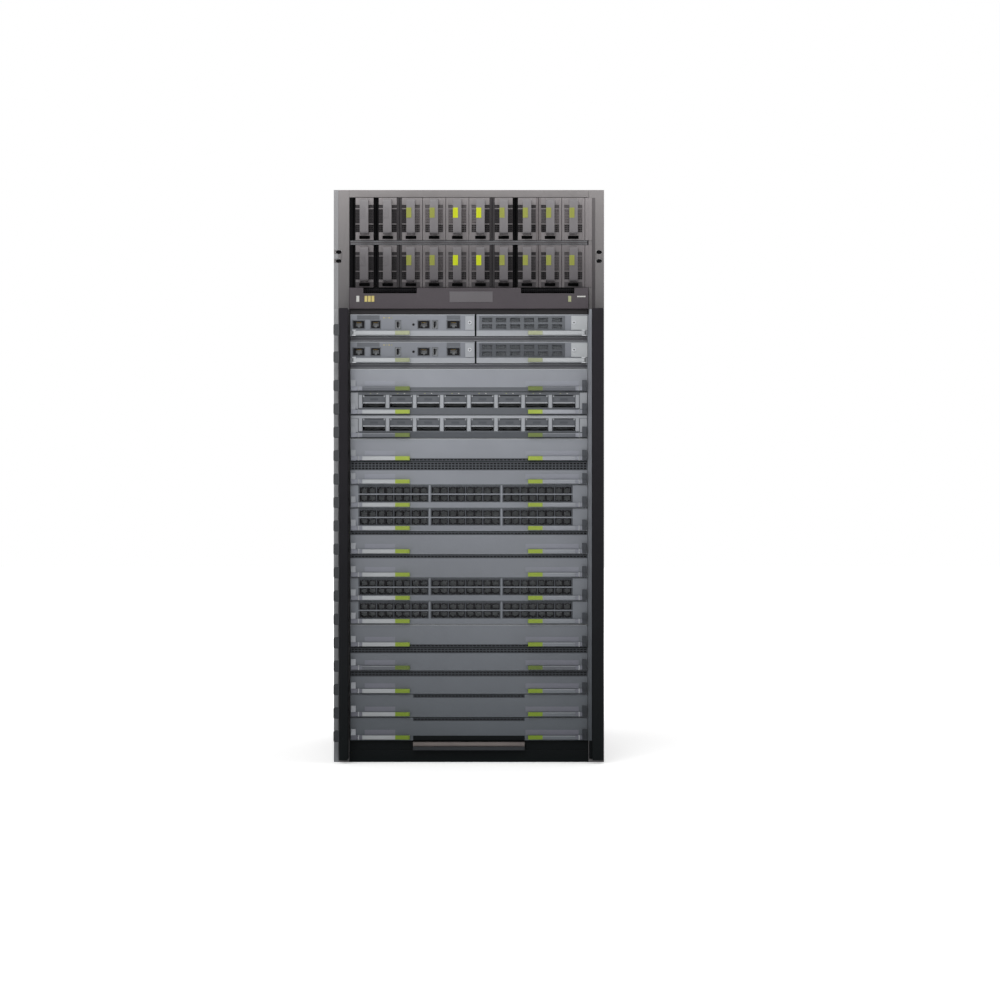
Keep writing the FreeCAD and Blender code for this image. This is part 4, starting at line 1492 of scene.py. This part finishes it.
@dataclass
class Fillers(SlotPieces):
    """The panels over empty slots, some with a vent strip along the top."""
    kind: str = "filler_panel"
    numbers: tuple[int, ...] = (1, 4, 5, 8, 9, 12, 13, 14, 15, 16)
    # The levers of these panels are painted in shadow.
    dim: tuple[int, ...] = (1, 13)
    tray_depth: float = 28.0
    wall: float = 1.5
    recess: float = 2.0
    centre_half: float = 99.5
    dotted_feet: tuple[int, ...] = (4, 12)

    def strip(self, number: int) -> Span:
        """The size of a panel's vent strip.

        Args:
            number: The panel's slot.

        Returns:
            Its half width and its height; zeros where it has none.
        """
        heights = {5: 15.0, 8: 6.0, 9: 6.0, 13: 9.5, 14: 9.5}
        if number in heights:
            return (HALF_OPENING, heights[number])
        return (self.centre_half, 6.0) if number in (15, 16) else (0.0, 0.0)

    def build(self, work: Workpiece, number: int, floor: float) -> None:
        """Adds the panel, its tray, its vent strip and the plates above the levers.

        Args:
            work: The panel's piece.
            number: The panel's slot.
            floor: The height of the slot.
        """
        whole, face, deep = within(HALF_OPENING), self.slots.face, (0.0, self.tray_depth)
        back = face + self.recess
        low, high = self.slots.faces(number)
        reach, height = self.strip(number)
        vent = (within(reach), skin(high, height))
        work.windowed(whole, (face, back), (low, high), [vent] if height else [], Finish.CARD)
        if height:
            cells = (round(2 * reach / 6.2), max(1, round(height / 4.6)))
            work.pierced(vent[0], about(back, 0.8), vent[1], cells, 2.0, Finish.FIELD)
            # Black behind the vent strip: painted shade in its recess.
            work.block(vent[0], (back + 0.4, 0.0), vent[1], Finish.CAVITY)
        else:
            # A bright strip along the top edge of a plain panel: a painted highlight.
            work.block(whole, skin(face, 0.2), skin(high, 1.0), Finish.LEVER)
        work.block(whole, (back, 0.0), (low, high - height), Finish.CARD)
        tray = (floor + self.slots.board_lift, high)
        sides = inset(tray, self.wall)
        for z in ((tray[0], sides[0]), (sides[1], tray[1])):
            work.block(whole, deep, z, Finish.DULL)
        for side in Side:
            work.block(side.of(skin(HALF_OPENING, self.wall)), deep, sides, Finish.DULL)
        self.skirt(work, number, low)
        self.levers.plates(work, floor)

    def skirt(self, work: Workpiece, number: int, low: float) -> None:
        """Adds the dark strip along the foot of the panels that have one.

        Args:
            work: The panel's piece.
            number: The panel's slot.
            low: The lower edge of its face.
        """
        whole, front = within(HALF_OPENING), skin(self.slots.face, 0.4)
        if number == 1:
            work.block(whole, front, over(low, 0.0, 7.6), Finish.BAY)
        if number in self.dotted_feet:
            z = over(low, 0.0, 5.4)
            work.pierced(whole, front, z, (round(HALF_OPENING / 3.4), 1), 1.6, Finish.FIELD)
            # Black behind the dotted foot: painted shade in its holes.
            work.block(whole, skin(self.slots.face, 0.05), z, Finish.CAVITY)
        if number == self.slots.count:
            work.block(within(self.centre_half), front, over(low, 0.0, 8.4), Finish.BLACK_COAT)


# ---- Control modules -------------------------------------------------------
@dataclass
class ControlRow:
    """The half-width modules, with their sockets, vents and turning levers."""
    fittings: BoardFittings
    face: float = -3.0
    height: float = 38.5
    body_depth: float = 16.0
    sockets: tuple[Span, ...] = ((5.0, 20.0), (37.0, 16.0), (81.0, 8.0), (121.0, 20.0), (147.0, 8.0),
                                 (173.0, 22.0))
    socket_z: Span = (14.0, 27.0)
    wide: float = 10.0
    cell_pitch: float = 25.0
    cell: Span = (18.0, 8.0)
    cell_start: float = 10.0
    cell_rows: tuple[float, ...] = (13.0, 24.5)
    foot: float = 9.6
    end_rise: Span = (11.0, 36.0)
    dark_panels: tuple[Span, ...] = ((12.0, 52.0), (172.0, 196.0))
    screw_radius: float = 3.4
    pivot: float = 204.5
    pivot_depth: float = -3.5 - math.hypot(3.4, 3.0)
    pin_radius: float = 1.6
    eye: Span = (1.68, 3.0)

    def dress(self) -> None:
        """Builds the four modules and their levers."""
        for row in ("upper", "lower"):
            for side, fill in ((Side.LEFT, self.left), (Side.RIGHT, self.right)):
                node = "control_module_%s_%s" % (side.name.lower(), row)
                work = Workpiece(node + "_dressed")
                box = NodeBox.of(node)
                fill(work, box)
                self.clevis(work, side, box.z[0])
                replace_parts(work.place(node, "card_face", 0.2), node)
            for side in Side:
                self.lever(row, side)

    def shell(self, work: Workpiece, box: NodeBox, windows: list[Window]) -> None:
        """Adds a module's face, the block behind it and its board.

        Args:
            work: The module's piece.
            box: The module's box.
            windows: The openings in its face.
        """
        low, high = over(box.z[0], 0.0, self.height)
        work.windowed(box.x, (self.face, 0.0), (low, high), windows, Finish.CONTROL)
        work.block(box.x, skin(self.face, 0.4), over(low, 0.0, self.foot), Finish.LIGHT)
        work.block(box.x, skin(self.face, 0.3), skin(high, 1.4), Finish.LIGHT)
        inner, inside = inset(box.x, 3.2), (low + 4.2, high - 3.0)
        work.windowed(inner, (0.0, self.body_depth - 1.6), inside, windows, Finish.DULL)
        work.block(inner, about(self.body_depth, 3.2), inside, Finish.DULL)
        self.fittings.build(work, box.x, low + 1.8)

    def left(self, work: Workpiece, box: NodeBox) -> None:
        """Fills a left module with its sockets.

        Args:
            work: The module's piece.
            box: The module's box.
        """
        left, low = box.x[0], box.z[0]
        z = over(low, *self.socket_z)
        spans = [over(left + place, 0.0, width) for place, width in self.sockets]
        self.shell(work, box, [(span, z) for span in spans])
        for span in spans:
            (self.jack if span[1] - span[0] > self.wide else self.narrow_socket)(work, span, z)
        end = over(box.x[1], -17.0, -1.0)
        work.block(end, skin(self.face, 1.2), over(low, *self.end_rise), Finish.LIGHT)
        for panel in self.dark_panels:
            work.block(over(left, *panel), skin(self.face, 0.3), over(low, 29.5, 37.0), Finish.BAY)
        for span in spans:
            work.windowed(inset(span, -1.6), skin(self.face, 0.5), inset(z, -1.6), [(span, z)], Finish.BAY)
        screw_head(work, Axis.Y, (middle_of(end), low + 24.0), self.face - 1.2, -1, self.screw_radius)
        for lamp in range(4):
            work.rod((left + 60.0 + lamp * 4.6, low + 32.5), 1.1, Axis.Y, skin(self.face, 0.4),
                     Finish.GREEN if lamp % 2 else Finish.AMBER, 12)
        work.rod((left + 112.5, low + 20.5), 2.2, Axis.Y, skin(self.face, 0.8), Finish.BLACK, 20)

    def right(self, work: Workpiece, box: NodeBox) -> None:
        """Fills a right module with its chequered vent.

        Args:
            work: The module's piece.
            box: The module's box.
        """
        start, low = box.x[0] + self.cell_start, box.z[0]
        windows = [(over(start + n * self.cell_pitch, 0.0, self.cell[0]), over(low + rise, 0.0, self.cell[1]))
                   for rise in self.cell_rows for n in range(6)]
        self.shell(work, box, windows)
        for across, up in windows:
            work.pierced(across, over(self.face, 1.4, 2.0), up, (5, 2), 0.8, Finish.FIELD)
        mesh = inset((start, windows[-1][0][1]), -5.0)
        work.windowed(mesh, skin(self.face, 0.4), over(low, 10.6, 35.6), windows,
                      Finish.BAY if "upper" in work.name else Finish.FIELD)
        work.block(skin(box.x[1], 29.0), skin(self.face, 1.0), over(low, *self.end_rise), Finish.LEVER)
        screw_head(work, Axis.Y, (box.x[1] - 24.0, low + 24.0), self.face - 1.0, -1, self.screw_radius)

    def jack(self, work: Workpiece, span: Span, z: Span) -> None:
        """Fills a wide socket with a jack and its contacts.

        Args:
            work: The module's piece.
            span: The socket's limits across.
            z: Its limits in height.
        """
        middle = middle_of(span)
        main = (z[0] + 3.4, z[1] - 1.6)
        holes = [(about(middle, min(12.0, span[1] - span[0] - 3.0)), main),
                 (about(middle, 4.6), (z[0] + 1.4, main[0]))]
        work.windowed(inset(span, 0.2), (self.face + 0.5, self.body_depth - 1.6), inset(z, 0.2), holes,
                      Finish.SOCKET)
        for wire in range(8):
            work.block(about(middle + (wire - 3.5) * 1.02, 0.45), (2.0, 10.0), over(main[1], -1.2, -0.6),
                       Finish.GOLD)

    def narrow_socket(self, work: Workpiece, span: Span, z: Span) -> None:
        """Fills a narrow socket with an upright tongue.

        Args:
            work: The module's piece.
            span: The socket's limits across.
            z: Its limits in height.
        """
        end, hole = self.body_depth - 1.6, (inset(span, 1.0), inset(z, 0.8))
        work.windowed(inset(span, 0.1), (self.face + 0.3, end), inset(z, 0.1), [hole], Finish.DULL)
        work.block(over(span[0], 2.0, 3.6), (self.face + 2.0, end), inset(z, 1.6), Finish.BLACK)

    def clevis(self, work: Workpiece, side: Side, low: float) -> None:
        """Adds the two lugs and the pin that carry a lever.

        Args:
            work: The module's piece.
            side: Which end it is on.
            low: The lower edge of the module's face.
        """
        across, depth = side.value * self.pivot, self.pivot_depth
        for z in ((0.2, 1.7), (9.3, 10.8)):
            work.block(about(across, 6.8), (depth - 3.4, self.face), over(low, *z), Finish.BRIGHT)
        work.rod((across, depth), self.pin_radius, Axis.Z, over(low, -0.2, 11.2), Finish.DULL, 24)

    def lever(self, row: str, side: Side) -> None:
        """Builds a lever that turns on the pin.

        Args:
            row: The row's name.
            side: Which end it is on.
        """
        node = "control_lever_%s_%s" % (side.name.lower(), row)
        work = Workpiece(node + "_dressed")
        z, y = NodeBox.of(node).z, about(self.pivot_depth, 4.0)
        work.ring((side.value * self.pivot, self.pivot_depth), self.eye, Axis.Z, z, Finish.LEVER)
        work.block(side.of((LEVER_TIP[1], self.pivot - 2.0)), y, z, Finish.LEVER)
        lever_tip(work, side, y, y[1] - 7.5, z, Finish.LIME_PALE)
        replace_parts(work.place(node, "lever_metal", 0.25), node)


# ---- Cable channels and air filter -----------------------------------------
@dataclass
class CableChannels:
    """The comb on the left and the plain column on the right."""
    slots: SlotPlan
    wall: float = 2.0
    inner: float = 214.5
    comb_edge: float = 230.6
    finger_end: float = 240.0
    finger_radius: float = 3.0
    right_lip: float = 219.6
    finger_height: float = 20.0
    finger_depth: float = 10.0
    corner: float = 4.0
    control_floors: Span = (711.6, 760.1)

    def dress(self) -> None:
        """Builds both channels, the comb's fingers and the strip beside the column."""
        comb, column = NodeBox.of("cable_comb_left"), NodeBox.of("cable_column_right")
        work = Workpiece("cable_comb_left_dressed")
        self.channel(work, Side.LEFT, (self.inner, self.comb_edge), comb)
        for floor in [*map(self.slots.floor, range(1, self.slots.count + 1)), *self.control_floors]:
            self.finger(work, comb, floor)
        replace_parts(work.place("chassis", "black_plastic", 0.3), "cable_comb_left")
        work = Workpiece("cable_column_right_dressed")
        self.channel(work, Side.RIGHT, (self.right_lip, column.x[1]), column)
        edges = (column.z[0], self.slots.base, column.z[1])
        for z, finish in ((edges[1:], Finish.CARD), (edges[:2], Finish.BLACK_COAT)):
            work.block((self.inner, self.right_lip), skin(0.0, self.wall), z, finish)
        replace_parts(work.place("chassis", "black_plastic", 0.3), "cable_column_right")

    def channel(self, work: Workpiece, side: Side, span: Span, box: NodeBox) -> None:
        """Adds a channel, open towards the cards, with its screws.

        Args:
            work: The channel's piece.
            side: Which side it is on.
            span: Its distance from the middle, at its inner and outer face.
            box: The node's box.
        """
        wall, front = self.wall, box.y[0]
        centre = (span[1] - self.corner, front + self.corner)
        outline = [(span[0], 0.0), (span[1], 0.0), *arc(centre, self.corner, 0, -90, 6), (span[0], front),
                   (span[0], front + wall), *arc(centre, self.corner - wall, -90, 0, 6),
                   (span[1] - wall, -wall), (span[0], -wall)]
        work.prism([(side.value * x, y) for x, y in outline], Axis.Z, box.z, Finish.BLACK_COAT)
        for row in range(5):
            height = box.z[0] + 30.0 + row * (box.z[1] - box.z[0] - 60.0) / 4
            work.rod((side.value * middle_of(span), height), 2.6, Axis.Y, skin(-wall, 0.6), Finish.DULL, 16)

    def finger(self, work: Workpiece, box: NodeBox, floor: float) -> None:
        """Adds a finger with a rounded end.

        Args:
            work: The comb's piece.
            box: The comb's box.
            floor: The height of its underside.
        """
        z, radius = over(floor, 0.0, self.finger_height), self.finger_radius
        lower, upper = ((self.finger_end - radius, height) for height in inset(z, radius))
        outline = [(self.comb_edge - 1.0, z[0]), *arc(lower, radius, -90, 0), *arc(upper, radius, 0, 90),
                   (self.comb_edge - 1.0, z[1])]
        work.prism([(-x, height) for x, height in outline], Axis.Y, over(box.y[0], 0.0, self.finger_depth),
                   Finish.FINGER)


@dataclass
class FilterDrawer:
    """The air filter with its mat and pull lip."""
    border: float = 8.0
    recess: float = 5.0
    mat_drop: float = 1.4
    bars: int = 5
    seal: float = 0.46

    def dress(self) -> None:
        """Gives the drawer its finish and adds its mat."""
        wear("air_filter", Finish.FILTER_FRAME, 0.4)
        box = NodeBox.of("air_filter")
        work = Workpiece("filter_mat")
        top, inner, deep = box.z[1], inset(box.x, self.border), (self.border, box.y[1] - self.border)
        work.block(inner, deep, (top - self.recess, top - self.mat_drop), Finish.FOAM)
        for bar in range(1, self.bars):
            place = deep[0] + bar * (deep[1] - deep[0]) / self.bars
            work.block(inner, about(place, 3.0), (top - self.mat_drop, top - 0.2), Finish.FILTER_FRAME)
        seal = over(box.z[0], 0.0, self.seal * (top - box.z[0]))
        work.block(box.x, over(box.y[0], -0.3, 0.4), seal, Finish.FINGER)
        work.place("air_filter", "filter_frame", 0.2)


# ---- Rear ------------------------------------------------------------------
@dataclass
class RearTrays:
    """The fan trays with their rotors and guards, and the terminal bar."""
    fan: float = 104.0
    pitch: float = 126.0
    row_pitch: float = 160.0
    blades: int = 7
    rings: int = 5
    handle: float = 22.0
    knobs: Span = (-190.0, 190.0)

    def dress(self) -> None:
        """Dresses both trays and the terminals."""
        for tray in ("lower", "upper"):
            self.tray("fan_tray_" + tray)
        self.terminals()

    def tray(self, node: str) -> None:
        """Adds the rotors, guards and screws of a tray.

        Args:
            node: The tray's node.
        """
        wear(node, Finish.SHELL, 0.4)
        box = NodeBox.of(node)
        plane = box.y[1] - self.handle
        work = Workpiece(node + "_fans")
        for row in (-0.5, 0.5):
            for column in (-1, 0, 1):
                self.fan_in(work, (column * self.pitch, middle_of(box.z) + row * self.row_pitch), plane)
        for x in self.knobs:
            for z in inset(box.z, 14.0):
                work.rod((x, z), 5.0, Axis.Y, over(plane, 0.0, 1.2), Finish.DULL, 24)
                work.rod((x, z), 4.0, Axis.Y, over(plane, 1.2, 8.0), Finish.BRIGHT, 18)
                # A thin black stripe across each knob is its slot, painted as shade.
                work.block(about(x, 6.0), over(plane, 8.0, 8.06), about(z, 1.0), Finish.CAVITY)
        work.place(node, "tray_metal", 0.15)

    def fan_in(self, work: Workpiece, centre: Span, plane: float) -> None:
        """Adds a rotor and its guard in one window.

        Args:
            work: The tray's piece.
            centre: The fan's middle.
            plane: The tray's rear face.
        """
        half = self.fan / 2
        work.ring(centre, (half - 4.0, half - 1.0), Axis.Y, over(plane, -7.6, -3.0), Finish.BLACK, 48)
        work.rod(centre, 17.0, Axis.Y, over(plane, -7.2, -3.4), Finish.BLACK, 32)
        for blade in range(self.blades):
            corners = ((16.0, 0.0), (half - 6.0, 0.18), (half - 6.0, 0.62), (16.0, 0.55))
            start = math.tau * blade / self.blades
            outline = [polar(centre, radius, start + turn) for radius, turn in corners]
            work.prism(outline, Axis.Y, over(plane, -6.6, -4.4), Finish.BLACK)
        for ring in range(1, self.rings + 1):
            radius = ring * (half - 3.0) / self.rings
            work.ring(centre, about(radius, 1.6), Axis.Y, over(plane, -2.2, -0.8), Finish.BRIGHT, 40)
        for turn in range(4):
            angle = math.pi / 4 + turn * math.pi / 2
            across, up = math.cos(angle), math.sin(angle)
            outline = [(centre[0] + r * across - w * up, centre[1] + r * up + w * across)
                       for r, w in ((8.0, 1), (half * 1.32, 1), (half * 1.32, -1), (8.0, -1))]
            work.prism(outline, Axis.Y, over(plane, -2.9, -2.2), Finish.BRIGHT)

    def terminals(self) -> None:
        """Adds the studs, nuts and walls on the terminal bar."""
        box = NodeBox.of("power_terminals")
        work = Workpiece("terminal_studs")
        middle, end = middle_of(box.z), box.y[1]
        for tab in range(10):
            x = (tab - 4.5) * 40.0
            work.block(about(x, 17.0), over(end, -8.0, 0.8), about(middle, 13.0), Finish.DULL)
            work.rod((x, middle), 4.6, Axis.Y, over(end, 0.8, 3.4), Finish.BRIGHT, 6)
            work.rod((x, middle), 2.4, Axis.Y, over(end, 3.4, 3.9), Finish.GOLD, 20)
        for wall in range(11):
            across = about((wall - 5.0) * 39.6, 2.0)
            work.block(across, (box.y[0] + 12.0, end + 2.0), inset(box.z, 0.6), Finish.BLACK)
        work.place("chassis", "terminal_plastic", 0.2)


# ---- Studio ----------------------------------------------------------------
@dataclass
class Studio:
    """The pale floor, the lamps and the camera."""
    camera_x: float = 0.0555
    camera_distance: float = 5.0
    camera_height: float = 0.468
    lens: float = 100.8
    sky: float = 0.5
    floor_size: float = 14.0
    floor_lift: float = 0.3
    floor_fade: Span = (0.6, 2.4)
    target: Corner = (0.0, 0.0, 0.6)

    def build(self) -> None:
        """Sets up everything that isn't the object, and shows colours as they are written."""
        bpy.context.scene.view_settings.view_transform = "Standard"
        self.world()
        self.floor()
        self.lamp("lamp_front", (-0.8, -4.2, 3.4), 2.6, 95.0)
        self.lamp("lamp_left", (-4.0, -1.0, 2.6), 2.4, 38.0)
        self.lamp("lamp_right", (4.0, -1.0, 2.6), 2.4, 38.0)
        self.lamp("lamp_back", (0.6, 4.2, 3.0), 2.6, 70.0)
        self.camera()

    def world(self) -> None:
        """Makes a sky that looks white and lights at a plain level."""
        world = bpy.data.worlds.new("studio_sky")
        bpy.context.scene.world = world
        world.use_nodes = True
        wiring = Wiring(world.node_tree)
        background = next(n for n in world.node_tree.nodes if n.type == "BACKGROUND").inputs
        rays = wiring.node("LightPath").outputs
        seen = wiring.sum_of("MAXIMUM", rays["Is Camera Ray"], rays["Is Glossy Ray"])
        seen = wiring.sum_of("MAXIMUM", seen, rays["Is Transmission Ray"])
        wiring.lead(WHITE, background["Color"])
        wiring.lead(wiring.span(seen, self.sky, 1.0), background["Strength"])

    def floor(self) -> None:
        """Lays a pale floor that fades into the sky and keeps the object's shadow."""
        mesh = bmesh.new()
        bmesh.ops.create_grid(mesh, x_segments=8, y_segments=8, size=self.floor_size)
        data = bpy.data.meshes.new("studio_floor")
        mesh.to_mesh(data)
        mesh.free()
        floor = bpy.data.objects.new("studio_floor", data)
        bpy.context.scene.collection.objects.link(floor)
        recipe = Recipe("floor_paper")
        rays = recipe.node("LightPath").outputs
        seen = recipe.sum_of("MAXIMUM", rays["Is Camera Ray"], rays["Is Transmission Ray"])
        reach = recipe.node("VectorMath", {0: recipe.here()}, operation="LENGTH").outputs["Value"]
        lift = recipe.sum_of("MULTIPLY", seen, recipe.span(reach, self.floor_lift, 1.0, self.floor_fade))
        data.materials.append(recipe.finish(
            Base_Color=(0.93, 0.93, 0.93, 1.0), Roughness=0.9, Specular_IOR_Level=0.1,
            Emission_Color=WHITE, Emission_Strength=lift))

    def lamp(self, name: str, place: Corner, size: float, power: float) -> None:
        """Adds a soft square lamp that points at the object.

        Args:
            name: Its name.
            place: Where it hangs.
            size: Its side.
            power: Its power in watts.
        """
        light = bpy.data.lights.new(name, "AREA")
        light.shape = "SQUARE"
        light.size = size
        light.energy = power
        lamp = bpy.data.objects.new(name, light)
        lamp.location = place
        lamp.rotation_euler = (Vector(self.target) - Vector(place)).to_track_quat("-Z", "Y").to_euler()
        bpy.context.scene.collection.objects.link(lamp)

    def camera(self) -> None:
        """Stands the camera level, straight before the object."""
        data = bpy.data.cameras.new("camera")
        data.lens = self.lens
        data.clip_end = 100.0
        camera = bpy.data.objects.new("camera", data)
        camera.location = (self.camera_x, RACK_PLANE * MM - self.camera_distance, self.camera_height)
        camera.rotation_euler = (math.radians(90.0), 0.0, 0.0)
        bpy.context.scene.collection.objects.link(camera)
        bpy.context.scene.camera = camera


def write_sizes() -> None:
    """Updates the view layer.
    """
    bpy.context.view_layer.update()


def main() -> None:
    """Builds the dressed switch and its studio."""
    logging.basicConfig(level=logging.INFO, format="%(message)s")
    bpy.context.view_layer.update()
    slots, levers, fittings = SlotPlan(), FaceLevers(), BoardFittings()
    assemblies = (ChassisShell(), PowerBank(), Bezel(), BayCards(slots, levers, fittings),
                  PortCards(slots, levers, fittings), Fillers(slots, levers, fittings), ControlRow(fittings),
                  CableChannels(slots), FilterDrawer(), RearTrays())
    for assembly in assemblies:
        known = set(bpy.data.objects.keys())
        assembly.dress()
        for name in sorted(set(bpy.data.objects.keys()) - known):
            piece = bpy.data.objects[name]
            LOG.info("%s: %s, %d faces", type(assembly).__name__, name, len(piece.data.polygons))
    Studio().build()
    write_sizes()


if __name__ == "__main__":
    main()
